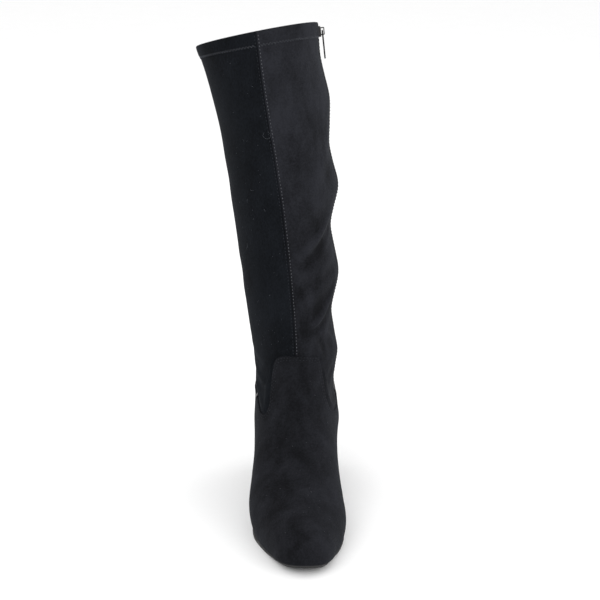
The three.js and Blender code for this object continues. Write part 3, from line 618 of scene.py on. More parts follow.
def heel_block(material):
    """Heel block covered in suede, drawn in a little towards its foot."""
    foot_height, under_outsole = 6.2, 3.9
    rings = []
    for f in np.linspace(0, 1, 40):
        ring = heel_outline(1 - (1 - HEEL_FOOT) * f**0.75)
        top = ring[:, 2] - under_outsole
        ring[:, 2] = top + (foot_height - top) * f
        rings.append(ring)
    foot = rings[-1]
    centre = foot.mean(0)
    for share in (0.985, 0.93, 0.0):
        closing = centre + (foot - centre) * [share, share, 1]
        closing[:, 2] -= 0.35
        rings.append(closing)
    faces = grid_faces(len(rings), HEEL_RING, wrap=True)
    piece = make_object("heel_covered", np.array(rings), faces, material, weld=0.01)
    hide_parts("heel")
    return piece


def top_piece(material):
    """Rubber wear piece under the heel, with shallow grooves across it."""
    outline = heel_outline(HEEL_FOOT)
    # Each ring: its share of the outline, and its height in mm.
    profile = (
        (0.001, 6.0), (0.97, 6.0), (1.0, 5.7), (1.0, 5.0), (0.985, 4.7), (1.0, 4.4), (1.0, 0.7),
        (0.985, 0.2), (0.96, 0.0),
    )
    rings = []
    for share, height in profile:
        ring = HEEL_MIDDLE + (outline - HEEL_MIDDLE) * [share, share, 0]
        ring[:, 2] = height
        rings.append(ring)
    groove_pitch, groove_depth = 3.4, 0.6
    for share in np.linspace(0.96, 0.001, 40)[1:]:
        ring = HEEL_MIDDLE + (outline - HEEL_MIDDLE) * [share, share, 0]
        groove = np.clip(np.sin(ring[:, 1] / groove_pitch * 2 * np.pi) * 2.5, -1, 1) + 1
        ring[:, 2] = groove * groove_depth / 2 * (share < HEEL_FOOT)
        rings.append(ring)
    faces = grid_faces(len(rings), HEEL_RING, wrap=True)
    piece = make_object("heel_top_rubber", np.array(rings), faces, material, weld=0.01)
    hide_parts("heel_top_piece")
    return piece


def insole_piece(material):
    """Padded sock on the insole board, a little higher round its edge."""
    count = 200
    _, outer, inner = footprint(0, HEEL_BACK, -3.2, count)
    across = np.linspace(0, 1, 41)[:, None, None]
    board = outer + (inner - outer) * across
    share = across[..., 0]
    dish = (2 * share - 1) ** 2
    top, bottom = board.copy(), board.copy()
    top[..., 2] += 2.0 + 1.1 * dish**2 - 1.6 * hump(2 * np.minimum(share, 1 - share), 0, 0.05)
    bottom[..., 2] += 0.1
    faces = np.concatenate([grid_faces(41, count), grid_faces(41, count, top[..., 0].size)[:, ::-1]])
    points = np.concatenate([top.reshape(-1, 3), bottom.reshape(-1, 3)])
    piece = make_object("insole_sock", points, faces, material)
    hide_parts("insole")
    return piece


# ---- Thread, zip and small things: many small shapes joined in one mesh ----


def bead(sides, rings):
    """A template capsule along +X, one long and one wide, with its faces."""
    along = np.linspace(0, np.pi, rings)
    around = np.linspace(0, 2 * np.pi, sides, endpoint=False)
    x = np.repeat(-np.cos(along) * 0.5, sides)
    r = np.repeat(np.sin(along) ** 0.6 * 0.5 + 0.002, sides)
    points = np.stack([x, r * np.tile(np.cos(around), rings), r * np.tile(np.sin(around), rings)], -1)
    return points, grid_faces(rings, sides, wrap=True)


def joined(name, template, centres, ways, outs, lengths, widths, material, sag=0.0):
    """Copies of a template laid along ways, standing on outs, joined in one mesh. sag bends both ends in."""
    points, faces = template
    ways, outs = unit(ways), unit(outs)
    acrosses = unit(np.cross(outs, ways))
    outs = np.cross(ways, acrosses)
    lengths, widths = (np.broadcast_to(v, len(centres))[:, None, None] for v in (lengths, widths))
    p = points[None]
    placed = (
        centres[:, None]
        + ways[:, None] * p[..., :1] * lengths
        + acrosses[:, None] * p[..., 1:2] * widths
        + outs[:, None] * (p[..., 2:] * widths - sag * (2 * p[..., :1]) ** 2)
    )
    offsets = (np.arange(len(centres)) * len(points))[:, None, None]
    return make_object(name, placed, (faces[None] + offsets).reshape(-1, faces.shape[1]), material)


def paced(points, pitch):
    """Even steps of about one pitch along a line, each as an index into the line with its fraction."""
    lengths = np.concatenate([[0], np.cumsum(np.linalg.norm(np.diff(points, axis=0), axis=1))])
    count = max(int(lengths[-1] / pitch), 1)
    wanted = (np.arange(count) + 0.5) * lengths[-1] / count
    return np.interp(wanted, lengths, np.arange(len(points)))


def stitch_line(place, turn, pitch, relief):
    """Centres, directions and normals for a row of stitches along a line of places and turns."""
    index = paced(skin(place, turn), pitch)
    order = np.arange(len(place))
    at = lambda k: (np.interp(k, order, place), np.interp(k, order, turn))
    here, ahead, behind = at(index), at(index + 0.3), at(index - 0.3)
    centres = lifted(*here, relief)
    return centres, lifted(*ahead, relief) - lifted(*behind, relief), skin_normal(*here)


def seam_offset(first, last, inset):
    """A line inside the foot piece, a fixed distance from its seam, between two turns."""
    turns = np.linspace(first, last, 900)
    place = seam_at(turns)
    line = skin(place, turns)
    way = unit(np.gradient(line, axis=0))
    inward = np.cross(skin_normal(place, turns), way)
    inward *= -np.sign(np.sum(inward * slopes(place, turns)[0], -1))[:, None]
    return walk(place, turns, inward * inset)


def side_line(turn, offset, first, last, count=1500):
    """A line up the shaft, offset mm round from one turn."""
    place = np.linspace(first, last, count)
    per_turn = np.linalg.norm(slopes(place, np.full(count, float(turn)))[1], axis=-1)
    return place, turn + offset / per_turn


def sewn(name, lines, pitch, width, material):
    """Rows of lockstitches in one mesh, each sunk at both ends. Each line is (place, turn, relief)."""
    rows = [stitch_line(place, turn, pitch, relief) for place, turn, relief in lines]
    centres, ways, outs = (np.concatenate(part) for part in zip(*rows))
    centres += outs * width * 0.25
    return joined(name, bead(6, 7), centres, ways, outs, pitch * 0.42, width, material, sag=width * 0.4)


def zigzag(name, turns, pitch, width, material):
    """Zigzag stitching along the hem: short threads that lean one way and then the other."""
    parts = []
    for first, last in turns:
        turn = np.linspace(first, last, 1200)
        place = np.full(len(turn), HEM_PLACE)
        centres, ways, outs = stitch_line(place, turn, pitch, shaft_relief)
        upward = unit(np.cross(unit(ways), outs))
        lean = np.where(np.arange(len(ways)) % 2 == 0, 1.0, -1.0)[:, None]
        parts.append((centres + outs * 0.45, unit(ways) + upward * lean * 1.8, outs))
    centres, ways, outs = (np.concatenate(part) for part in zip(*parts))
    return joined(name, bead(6, 7), centres, ways, outs, pitch * 2, width, material, sag=width * 0.3)


def zip_foot():
    """The place of the zip's foot."""
    return float(seam_at(np.array(ZIP_TURN))) + ZIP_FOOT


def zip_tape_piece(material):
    """Woven tape, set in between the two suede edges."""
    turns = ZIP_TURN + np.linspace(-TAPE_HALF, TAPE_HALF, 15)
    place, turn = np.meshgrid(np.linspace(zip_foot() - 0.1, TAPE_HEAD, 420), turns, indexing="ij")
    outer, inner = lifted(place, turn, None, 0.95), lifted(place, turn, None, 1.4)
    points = np.concatenate([outer, inner[::-1]])
    piece = make_object("zip_tape_woven", points, grid_faces(len(points), len(turns)), material)
    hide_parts("zip_tape")
    return piece


def zip_coils(pitch, material):
    """Two rows of coil teeth that mesh down the middle of the tape, up to the slider's tail."""
    place = np.linspace(zip_foot(), SLIDER_AT - SLIDER_REACH, 2400)
    line = skin(place, ZIP_TURN)
    index = paced(line, pitch / 2)
    at = np.interp(index, np.arange(len(place)), place)
    turn = np.full(len(at), ZIP_TURN)
    outs = skin_normal(at, turn)
    across = unit(np.cross(unit(slopes(at, turn)[0]), outs))
    side = np.where(np.arange(len(at)) % 2 == 0, 1.0, -1.0)[:, None]
    centres = skin(at, ZIP_TURN) + across * side * 0.75 - outs * 0.15
    teeth = joined("zip_coils", bead(8, 7), centres, across, outs, 3.0, pitch * 0.74, material, sag=0.3)
    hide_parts("zip_teeth")
    return teeth


# Fibres placed one by one: place, turn, radius in mm, and the arc's sweep and heading in radians.
HAIRS = (
    (26.8, -0.012, 3.4, 5.2, 0.5), (24.7, -0.17, 2.6, 1.9, 2.4), (24.4, -0.235, 3.2, 1.1, 1.2),
    (22.8, -0.3, 5.5, 1.2, 1.5), (23.9, -0.12, 2.6, 1.0, 0.4),
)
# Fibres scattered over the stretch panel and the foot: how many, the side that turns are on, and the least
# and most of place, turn, radius, sweep and heading.
SCATTERED = (
    (170, -1, (14.5, 29.2), (0.03, 0.97), (1.2, 4), (0.12, 0.5), (0, 6.3)),
    (60, 1, (3, 12), (-0.5, 0.5), (1, 3), (0.15, 0.5), (0, 6.3)),
)


def fibre(place, turn, radius, sweep, heading):
    """A bent fibre lying on the boot, as the middles, ways and normals of its short lengths."""
    relief = shaft_relief if place > float(seam_at(np.array(turn))) else foot_relief
    per_place, per_turn = (v[0] for v in slopes(np.array([place]), np.array([turn])))
    angles = heading + np.linspace(0, sweep, max(int(sweep * radius / 0.5), 2) + 1)
    along = radius * (np.cos(angles) - math.cos(heading)) / np.linalg.norm(per_place)
    around = radius * (np.sin(angles) - math.sin(heading)) / np.linalg.norm(per_turn)
    places, turns = place + along, turn + around
    normals = skin_normal(places, turns)
    line = lifted(places, turns, relief) + normals * 0.12
    return (line[1:] + line[:-1]) / 2, np.diff(line, axis=0), normals[1:]


def lint_piece(material):
    """A few pale fibres caught in the pile: short ones, and one loose hair."""
    rng = np.random.default_rng(7)
    spots = list(HAIRS)
    for count, side, *ranges in SCATTERED:
        for _ in range(count):
            place, turn, *arc = (rng.uniform(low, high) for low, high in ranges)
            spots.append((place, side * turn, *arc))
    centres, ways, outs = (np.concatenate(part) for part in zip(*(fibre(*spot) for spot in spots)))
    lengths = np.linalg.norm(ways, axis=-1) * 1.2  # so that each overlaps the next
    return joined("lint_fibres", bead(4, 4), centres, ways, outs, lengths, 0.2, material)


# ---- Materials ----


def linear(code):
    """An sRGB hex colour as linear red, green and blue."""
    parts = [int(code[k : k + 2], 16) / 255 for k in (1, 3, 5)]
    return tuple(v / 12.92 if v <= 0.04045 else ((v + 0.055) / 1.055) ** 2.4 for v in parts)


def node(material, kind, inputs=None, **settings):
    """Adds a node to a material with its settings, and its inputs as values or links."""
    made = material.node_tree.nodes.new(kind)
    for name, value in settings.items():
        setattr(made, name, value)
    for socket, value in (inputs or {}).items():
        if isinstance(value, bpy.types.NodeSocket):
            material.node_tree.links.new(value, made.inputs[socket])
        else:
            made.inputs[socket].default_value = value
    return made


def new_material(name, shader_inputs):
    """An empty material with a Principled shader whose inputs that never vary are set on its own sockets."""
    material = bpy.data.materials.new(name)
    material.use_nodes = True
    material.node_tree.nodes.clear()
    shader = node(material, "ShaderNodeBsdfPrincipled", shader_inputs)
    node(material, "ShaderNodeOutputMaterial", {"Surface": shader.outputs["BSDF"]})
    return material, shader


def join(material, start, end):
    """Links one socket to another."""
    material.node_tree.links.new(start, end)


def rgba(colour):
    """A colour with full opacity, as colour sockets take it."""
    return (*colour, 1)


def coloured(material, shader, share, dark, light, bump):
    """Gives a material its colour, from dark to light by share, and its bump."""
    colour = node(material, "ShaderNodeMix", {0: share, 6: rgba(dark), 7: rgba(light)}, data_type="RGBA")
    join(material, colour.outputs[2], shader.inputs["Base Color"])
    join(material, bump.outputs["Normal"], shader.inputs["Normal"])
    return material


def microsuede(name, dark, light, patch_mm, lit_side):
    """Microsuede, brushed polyester nap: matt, in cloudy patches where the nap lies another way, with painted
    highlight on the creases' ridges and painted shade in their troughs. The last argument is an axis, the two
    places along it between which the colour grows paler as painted light, and by how much."""
    material, shader = new_material(
        name,
        {"Roughness": 0.95, "IOR": 1.46, "Specular IOR Level": 0.1, "Sheen Weight": 0.035,
         "Sheen Roughness": 0.4, "Sheen Tint": rgba(linear("#b8c2d4"))},
    )
    add = functools.partial(node, material)
    axis, low, high, gain = lit_side
    where = add("ShaderNodeTexCoord").outputs["Object"]
    lean = add("ShaderNodeMapping", {"Vector": where, "Rotation": (0, 0.45, 0), "Scale": (1, 1, 0.5)})
    tall = lean.outputs["Vector"]
    patches = add(
        "ShaderNodeTexNoise",
        {"Vector": tall, "Scale": METRE / patch_mm, "Detail": 3, "Roughness": 0.55, "Distortion": 0.5},
    )
    strokes = add("ShaderNodeTexNoise", {"Vector": tall, "Scale": METRE / 8, "Detail": 4, "Roughness": 0.6})
    # The nap's fibres are about 0.2 mm apart; the grain is drawn at 1.7 mm so that it shows.
    grain = add("ShaderNodeTexNoise", {"Vector": where, "Scale": METRE / 1.7, "Detail": 4, "Roughness": 0.75})
    cloud = add("ShaderNodeMapRange", {"Value": patches.outputs["Fac"], "From Min": 0.36, "From Max": 0.66})
    some = add(
        "ShaderNodeMapRange",
        {"Value": strokes.outputs["Fac"], "From Min": 0.3, "From Max": 0.7, "To Max": 0.3},
    )
    tone = add(
        "ShaderNodeMath",
        {0: cloud.outputs["Result"], 1: 0.5, 2: some.outputs["Result"]},
        operation="MULTIPLY_ADD",
    )
    speck = add(
        "ShaderNodeMapRange",
        {"Value": grain.outputs["Fac"], "From Min": 0.35, "From Max": 0.7, "To Min": -0.3, "To Max": 0.3},
    )
    shade = add("ShaderNodeMath", {0: tone.outputs["Value"], 1: speck.outputs["Result"]}, operation="ADD")
    # Painted highlight on the creases' ridges and painted shade in their troughs: the colour follows the
    # crease lift.
    crease = add("ShaderNodeAttribute", attribute_name="crease")
    crease_shading = add(
        "ShaderNodeMath",
        {0: crease.outputs["Fac"], 1: 0.2, 2: shade.outputs["Value"]},
        operation="MULTIPLY_ADD",
    )
    # Painted light: the colour grows paler along one axis, up the shaft or towards the inner side of the
    # foot.
    along = add("ShaderNodeSeparateXYZ", {0: where}).outputs[axis]
    painted_light = add("ShaderNodeMapRange", {"Value": along, "From Min": low, "From Max": high, "To Max": gain})
    total = add(
        "ShaderNodeMath",
        {0: crease_shading.outputs["Value"], 1: painted_light.outputs["Result"]},
        operation="ADD", use_clamp=True,
    )
    nap = add("ShaderNodeBump", {"Height": grain.outputs["Fac"], "Strength": 0.7, "Distance": 0.5 * MM})
    soft = add(
        "ShaderNodeBump",
        {"Height": strokes.outputs["Fac"], "Strength": 0.5, "Distance": 1.2 * MM,
         "Normal": nap.outputs["Normal"]},
    )
    return coloured(material, shader, total.outputs["Value"], dark, light, soft)


def stretch_velour(name, dark, light):
    """Stretch velour, knitted with a cropped pile: darker and deeper than the suede, with fine upright wales
    and a faint bluish rim."""
    material, shader = new_material(
        name,
        {"Roughness": 0.95, "IOR": 1.46, "Specular IOR Level": 0.08, "Sheen Weight": 0.03,
         "Sheen Roughness": 0.3, "Sheen Tint": rgba(linear("#b0bfd6"))},
    )
    add = functools.partial(node, material)
    where = add("ShaderNodeTexCoord").outputs["Object"]
    tall = add("ShaderNodeMapping", {"Vector": where, "Scale": (1, 1, 0.5)}).outputs["Vector"]
    # Wales are about 0.4 mm apart; they are drawn at 1.3 mm so that the pile shows.
    pile = add("ShaderNodeTexNoise", {"Vector": tall, "Scale": METRE / 1.3, "Detail": 2, "Roughness": 0.75})
    patches = add("ShaderNodeTexNoise", {"Vector": tall, "Scale": METRE / 26, "Detail": 3, "Roughness": 0.55})
    speck = add(
        "ShaderNodeMapRange",
        {"Value": pile.outputs["Fac"], "From Min": 0.3, "From Max": 0.75, "To Min": -0.25, "To Max": 0.5},
    )
    cloud = add(
        "ShaderNodeMapRange",
        {"Value": patches.outputs["Fac"], "From Min": 0.3, "From Max": 0.7, "To Max": 0.6},
    )
    shade = add(
        "ShaderNodeMath",
        {0: cloud.outputs["Result"], 1: speck.outputs["Result"]},
        operation="ADD", use_clamp=True,
    )
    bump = add("ShaderNodeBump", {"Height": pile.outputs["Fac"], "Strength": 0.6, "Distance": 0.4 * MM})
    return coloured(material, shader, shade.outputs["Value"], dark, light, bump)


def woven(name, dark, light, thread_mm):
    """Woven polyester: small crossed threads that catch the light one by one."""
    material, shader = new_material(
        name, {"Roughness": 0.8, "IOR": 1.5, "Specular IOR Level": 0.3, "Sheen Weight": 0.05}
    )
    add = functools.partial(node, material)
    where = add("ShaderNodeTexCoord").outputs["Object"]
    turned = add("ShaderNodeMapping", {"Vector": where, "Rotation": (0, 0, 0.785)}).outputs["Vector"]
    # A wave texture at scale 1 has about three bands in one unit, and a band stands for two threads.
    wave = {"Vector": turned, "Scale": METRE / thread_mm / 6.28, "Distortion": 1.5}
    warp = add("ShaderNodeTexWave", wave, bands_direction="X")
    weft = add("ShaderNodeTexWave", wave, bands_direction="Z")
    cross = add("ShaderNodeMath", {0: warp.outputs["Fac"], 1: weft.outputs["Fac"]}, operation="MULTIPLY")
    bump = add("ShaderNodeBump", {"Height": cross.outputs["Value"], "Strength": 0.6, "Distance": 0.3 * MM})
    return coloured(material, shader, cross.outputs["Value"], dark, light, bump)


def smooth_stuff(name, dark, light, grain_mm, bump_mm, shader_inputs, rough=None):
    """A smooth stuff whose colour, height and gloss vary a little with a fine grain."""
    material, shader = new_material(name, shader_inputs)
    add = functools.partial(node, material)
    where = add("ShaderNodeTexCoord").outputs["Object"]
    fine = METRE / grain_mm
    grain = add("ShaderNodeTexNoise", {"Vector": where, "Scale": fine, "Detail": 4, "Roughness": 0.6})
    wear = add("ShaderNodeTexNoise", {"Vector": where, "Scale": fine / 9, "Detail": 3})
    blend = add("ShaderNodeMath", {0: grain.outputs["Fac"], 1: wear.outputs["Fac"]}, operation="MULTIPLY")
    fade = add("ShaderNodeMapRange", {"Value": blend.outputs["Value"], "From Min": 0.12, "From Max": 0.4})
    bump = add("ShaderNodeBump", {"Height": grain.outputs["Fac"], "Strength": 0.4, "Distance": bump_mm * MM})
    if rough:
        least, most = rough
        gloss = add(
            "ShaderNodeMapRange",
            {"Value": wear.outputs["Fac"], "From Min": 0.3, "From Max": 0.7, "To Min": least, "To Max": most},
        )
        join(material, gloss.outputs["Result"], shader.inputs["Roughness"])
    return coloured(material, shader, fade.outputs["Result"], dark, light, bump)


# Suedes: darkest and lightest gain on the suede's colour, patch in mm, and painted light: the axis, the two
# places along it and the gain by which the colour grows paler.
SUEDES = {
    "microsuede": (0.22, 0.95, 24.0, ("Z", 0.25, 0.40, 0.4)),
    "microsuede_foot": (0.22, 0.8, 28.0, ("X", 0.005, 0.03, 0.35)),
}
# Weaves: colour, its darkest and lightest gain, and one thread in mm, drawn two or three times too coarse so
# that the weave shows.
WEAVES = {
    "twill_lining": ("lining", 0.6, 1.4, 1.0),
    "insole_cloth": ("lining", 0.5, 1.1, 0.8),
    "zip_tape_weave": ("tape", 0.6, 1.8, 0.7),
}
# Smooth stuffs: colour, its darkest and lightest gain, grain and its height in mm, the shader's own values,
# and the least and most roughness where it varies.
DULL_THREAD = {"Roughness": 0.8, "Specular IOR Level": 0.2}
SMOOTH_STUFFS = {
    # Polyester thread, twisted and waxed: dull, with the pale row a little glossier.
    "polyester_thread_pale": ("thread", 0.6, 1.2, 0.8, 0.05, {"Roughness": 0.7, "Specular IOR Level": 0.3}),
    "polyester_thread_hem": ("hem_thread", 0.6, 1.3, 0.8, 0.05, DULL_THREAD),
    "polyester_thread_dark": ("dim_thread", 0.6, 1.3, 0.8, 0.05, DULL_THREAD),
    # Moulded rubber, satin from the mould and dulled where it is walked on.
    "moulded_rubber": ("rubber", 0.7, 1.3, 1.2, 0.06, {"IOR": 1.5, "Specular IOR Level": 0.3}, (0.5, 0.72)),
    # Nylon coil, extruded: hard and smooth, so each tooth has a small highlight.
    "nylon_coil": ("tape", 0.7, 1.5, 0.6, 0.02, {"Roughness": 0.36, "IOR": 1.53}),
    # Die-cast zinc under black lacquer: dark from every side, with small clear highlights.
    "lacquered_zinc": (
        "lacquer", 0.75, 1.3, 0.9, 0.02, {"IOR": 1.5, "Specular IOR Level": 0.4}, (0.24, 0.38),
    ),
    # Gunmetal plate, a dark mirror with fine wear.
    "gunmetal_plate": ("gunmetal", 0.8, 1.2, 0.9, 0.02, {"Metallic": 1.0}, (0.3, 0.42)),
    # Loose fibre, dull and a little paler than the pile.
    "lint_fibre": ("lint", 0.7, 1.2, 0.8, 0.02, {"Roughness": 0.7}),
    # Painted board, matt and even, for the floor.
    "painted_board": ("floor", 0.985, 1.0, 6, 0.01, {"Roughness": 0.9, "Specular IOR Level": 0.1}),
}


def finish(name):
    """The material of that name, made once from the scene's colours."""
    if name in bpy.data.materials:
        return bpy.data.materials[name]
    colours = bpy.context.scene.boot_colours

    def shades(prop, low, high):
        return [tuple(v * gain for v in getattr(colours, prop)) for gain in (low, high)]

    if name in SUEDES:
        low, high, *pattern = SUEDES[name]
        return microsuede(name, *shades("suede", low, high), *pattern)
    if name == "stretch_velour":
        return stretch_velour(name, *shades("velour", 0.3, 0.85))
    make, table = (woven, WEAVES) if name in WEAVES else (smooth_stuff, SMOOTH_STUFFS)
    prop, low, high, *pattern = table[name]
    return make(name, *shades(prop, low, high), *pattern)


# ---- Add-on: sizes, colours, one operator for each group of pieces ----


def colour_prop(name, code, text):
    """A colour that a user can change, from its sRGB hex value."""
    return bpy.props.FloatVectorProperty(
        name=name, description=text, subtype="COLOR", size=3, min=0, max=1, default=linear(code)
    )


def length_prop(name, default, least, text):
    """A length in metres that a user can change."""
    return bpy.props.FloatProperty(name=name, description=text, default=default, min=least, unit="LENGTH")


class BootSizes(bpy.types.PropertyGroup):
    """Sizes a maker would change."""

    stitch_pitch: length_prop("Stitch pitch", 0.0032, 0.001, "Distance from one lockstitch to the next")
    thread_width: length_prop("Thread width", 0.0006, 0.0002, "Thickness of the sewing thread")
    zigzag_pitch: length_prop("Zigzag pitch", 0.0015, 0.0005, "Half the length of one zigzag of the hem")
    coil_pitch: length_prop("Coil pitch", 0.0018, 0.0008, "Distance between teeth in one row of the zip")
    crease_depth: bpy.props.FloatProperty(
        name="Crease depth", description="How deep the creases are against the worn boot",
        default=1.0, min=0, max=2, subtype="FACTOR",
    )


class BootColours(bpy.types.PropertyGroup):
    """Colours a maker would change."""

    suede: colour_prop("Suede", "#25262b", "Middle tone of the microsuede")
    velour: colour_prop("Stretch velour", "#191c21", "Middle tone of the outer stretch panel")
    thread: colour_prop("Thread", "#56585d", "Thread of the front row that shows")
    hem_thread: colour_prop("Hem thread", "#4a4c52", "Zigzag round the hem")
    dim_thread: colour_prop("Dark thread", "#23252a", "Thread of the rows sunk in the pile")
    rubber: colour_prop("Rubber", "#1a1a1b", "Sole and top piece")
    lining: colour_prop("Lining", "#2c2c2f", "Lining and insole cloth")
    tape: colour_prop("Zip", "#17171a", "Zip tape and coils")
    lacquer: colour_prop("Lacquer", "#0e0e10", "Slider, pull and stop")
    gunmetal: colour_prop("Gunmetal", "#2c2d30", "Small trim at the outer ankle")
    lint: colour_prop("Lint", "#50535a", "Fibres caught in the pile")
    floor: colour_prop("Floor", "#fbfbfb", "Floor under the boot")


class MakeFoot(bpy.types.Operator):
    """Make the foot piece: vamp with its tongue-shaped top, quarters and counter."""

    bl_idname = "boot.make_foot"
    bl_label = "Foot piece"

    def execute(self, context):
        foot_piece(finish("microsuede_foot"))
        return {"FINISHED"}


class MakeShaft(bpy.types.Operator):
    """Make the three panels of the shaft with the turned hem at the collar."""

    bl_idname = "boot.make_shaft"
    bl_label = "Shaft panels"

    def execute(self, context):
        suede, velour = finish("microsuede"), finish("stretch_velour")
        zip_front, zip_back = ZIP_TURN - ZIP_SLOT, ZIP_TURN + ZIP_SLOT
        outer = shaft_panel("stretch_panel", "shaft_outer_panel", -1.0, 0.0, velour)
        front = shaft_panel("inner_front_suede", "shaft_inner_front_panel", 0.0, zip_front, suede)
        back = shaft_panel("inner_back_suede", "shaft_inner_back_panel", zip_back, 1.0, suede)
        return {"FINISHED"}


class MakeInside(bpy.types.Operator):
    """Make the lining and the insole sock."""

    bl_idname = "boot.make_inside"
    bl_label = "Lining and insole"

    def execute(self, context):
        lining_piece(finish("twill_lining"))
        insole_piece(finish("insole_cloth"))
        return {"FINISHED"}


class MakeSole(bpy.types.Operator):
    """Make the outsole, the covered heel and its rubber top piece."""

    bl_idname = "boot.make_sole"
    bl_label = "Sole and heel"

    def execute(self, context):
        outsole_piece(finish("moulded_rubber"))
        heel_block(finish("microsuede_foot"))
        top_piece(finish("moulded_rubber"))
        return {"FINISHED"}


class MakeZip(bpy.types.Operator):
    """Make the zip's tape and coils, and finish its stop, slider and hinged pull."""

    bl_idname = "boot.make_zip"
    bl_label = "Zip"

    def execute(self, context):
        sizes = context.scene.boot_sizes
        zip_tape_piece(finish("zip_tape_weave"))
        zip_coils(sizes.coil_pitch / MM, finish("nylon_coil"))
        dress_cad_nodes(("zip_bottom_stop", "zip_slider", "zip_pull"), finish("lacquered_zinc"), 0.00018)
        return {"FINISHED"}


class MakeStitching(bpy.types.Operator):
    """Sew the double rows, the hem's zigzag and the rows beside the zip."""

    bl_idname = "boot.make_stitching"
    bl_label = "Stitching"

    def execute(self, context):
        sizes = context.scene.boot_sizes
        pitch, width = sizes.stitch_pitch / MM, sizes.thread_width / MM
        pale, dark = finish("polyester_thread_pale"), finish("polyester_thread_dark")
        # Rows run up the shaft from just above the foot's seam to the collar, and up the back of the foot.
        top, tongue_top, both = COLLAR - 0.05, 14.15, (-1, 1)
        front, beside = (
            (*side_line(0.0, offset, tongue_top, top), shaft_relief) for offset in (FRONT_ROW, -FRONT_ROW)
        )
        sewn("front_seam_stitches", [front], pitch, width, pale)
        rows = [beside]
        rows += [(*side_line(s * 1.0, -s * BACK_ROW, 19.15, top), shaft_relief) for s in both]
        rows += [(*side_line(s * 1.0, -s * BACK_ROW, 15.4, 18.7), foot_relief) for s in both]
        for s in both:
            zip_row = side_line(ZIP_TURN + s * ZIP_SLOT, s * ZIP_ROW, 12.9, HEM_PLACE - 0.05)
            rows.append((*zip_row, shaft_relief))
        sewn("seam_stitches", rows, pitch, width, dark)
        foot_rows = [(*seam_offset(-0.985, 0.985, inset), foot_relief) for inset in FOOT_ROWS]
        sewn("foot_seam_stitches", foot_rows, pitch, width, dark)
        # The hem's zigzag stops short of the front and back seams and of the zip.
        zip_front, zip_back = ZIP_TURN - ZIP_SLOT - 0.012, ZIP_TURN + ZIP_SLOT + 0.012
        turns = ((-0.985, -0.015), (0.015, zip_front), (zip_back, 0.985))
        hem_thread = finish("polyester_thread_hem")
        zigzag("hem_zigzag", turns, sizes.zigzag_pitch / MM, width * 0.5, hem_thread)
        return {"FINISHED"}


class MakeTrim(bpy.types.Operator):
    """Finish the small metal trim at the outer ankle, and lay a few fibres of lint."""

    bl_idname = "boot.make_trim"
    bl_label = "Trim and lint"

    def execute(self, context):
        dress_cad_nodes(("ankle_trim",), finish("gunmetal_plate"), 0.0002)
        lint_piece(finish("lint_fibre"))
        return {"FINISHED"}


def dress_cad_nodes(names, material, bevel):
    """Gives CAD nodes whose shape is right their metal, and softens their edges."""
    for name in names:
        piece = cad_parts[name]
        piece.data.materials.clear()
        piece.data.materials.append(material)
        soft = piece.modifiers.new("soft edges", "BEVEL")
        soft.width, soft.segments = bevel, 3
        soft.limit_method, soft.angle_limit = "ANGLE", math.radians(30)


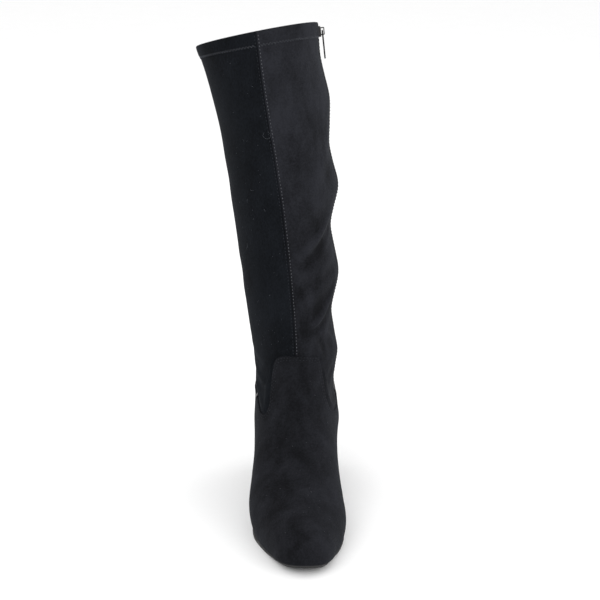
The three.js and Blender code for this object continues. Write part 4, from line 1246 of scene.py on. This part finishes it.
class MakeStage(bpy.types.Operator):
    """Make the floor, the soft lights and the camera."""

    bl_idname = "boot.make_stage"
    bl_label = "Floor, lights and camera"

    def execute(self, context):
        scene = context.scene
        scene.view_settings.view_transform = "Standard"
        bpy.ops.mesh.primitive_plane_add(size=24, location=(0, 4, 0))
        floor = context.object
        floor.name = "floor"
        floor.data.materials.append(finish("painted_board"))
        world = bpy.data.worlds.new("soft_room")
        scene.world = world
        world.use_nodes = True
        room = world.node_tree.nodes["Background"].inputs
        room["Color"].default_value = (1, 1, 1, 1)
        room["Strength"].default_value = 1.0
        lights = (
            # name, place, target, side, watts
            ("key", (-0.9, -1.6, 1.9), (0, -0.05, 0.2), 1.6, 15),
            ("fill", (1.4, -1.2, 0.9), (0, 0, 0.25), 1.2, 8.5),
            ("rim_left", (-1.5, 0.7, 0.9), (0, 0, 0.25), 1.0, 4),
            ("rim_right", (1.5, 0.8, 0.8), (0, 0, 0.25), 1.0, 6),
        )
        for name, place, target, side, watts in lights:
            lamp = bpy.data.lights.new(name, "AREA")
            lamp.size, lamp.energy = side, watts
            holder = bpy.data.objects.new(name, lamp)
            holder.location = place
            holder.rotation_euler = (Vector(target) - Vector(place)).to_track_quat("-Z", "Y").to_euler()
            scene.collection.objects.link(holder)
        lens = bpy.data.cameras.new("camera")
        lens.lens, lens.sensor_width, lens.shift_x, lens.shift_y = 93.36, 36, 0.005, 0.0079
        lens.clip_start, lens.clip_end = 0.05, 60
        camera = bpy.data.objects.new("camera", lens)
        camera.location, camera.rotation_euler = (0, -1.46455, 0.71593), (math.radians(70), 0, 0)
        scene.collection.objects.link(camera)
        scene.camera = camera
        return {"FINISHED"}


class BootPanel(bpy.types.Panel):
    """The steps of making the boot, in the 3D view's sidebar."""

    bl_idname = "VIEW3D_PT_boot_maker"
    bl_label = "Knee-high boot"
    bl_space_type = "VIEW_3D"
    bl_region_type = "UI"
    bl_category = "Boot"

    def draw(self, context):
        for group in (context.scene.boot_sizes, context.scene.boot_colours):
            for name in group.bl_rna.properties.keys():
                if name not in ("rna_type", "name"):
                    self.layout.prop(group, name)
        for step in STEPS:
            self.layout.operator(step.bl_idname)


STEPS = (MakeFoot, MakeShaft, MakeInside, MakeSole, MakeZip, MakeStitching, MakeTrim, MakeStage)
CLASSES = (BootSizes, BootColours, *STEPS, BootPanel)


def register():
    """Makes the panel, operators and settings known."""
    for made in CLASSES:
        bpy.utils.register_class(made)
    bpy.types.Scene.boot_sizes = bpy.props.PointerProperty(type=BootSizes)
    bpy.types.Scene.boot_colours = bpy.props.PointerProperty(type=BootColours)


def unregister():
    """Takes them away again."""
    del bpy.types.Scene.boot_colours
    del bpy.types.Scene.boot_sizes
    for made in reversed(CLASSES):
        bpy.utils.unregister_class(made)


def main():
    """Makes the boot step by step."""
    register()
    for step in STEPS:
        group, name = step.bl_idname.split(".")
        getattr(getattr(bpy.ops, group), name)()


if __name__ == "__main__":
    main()
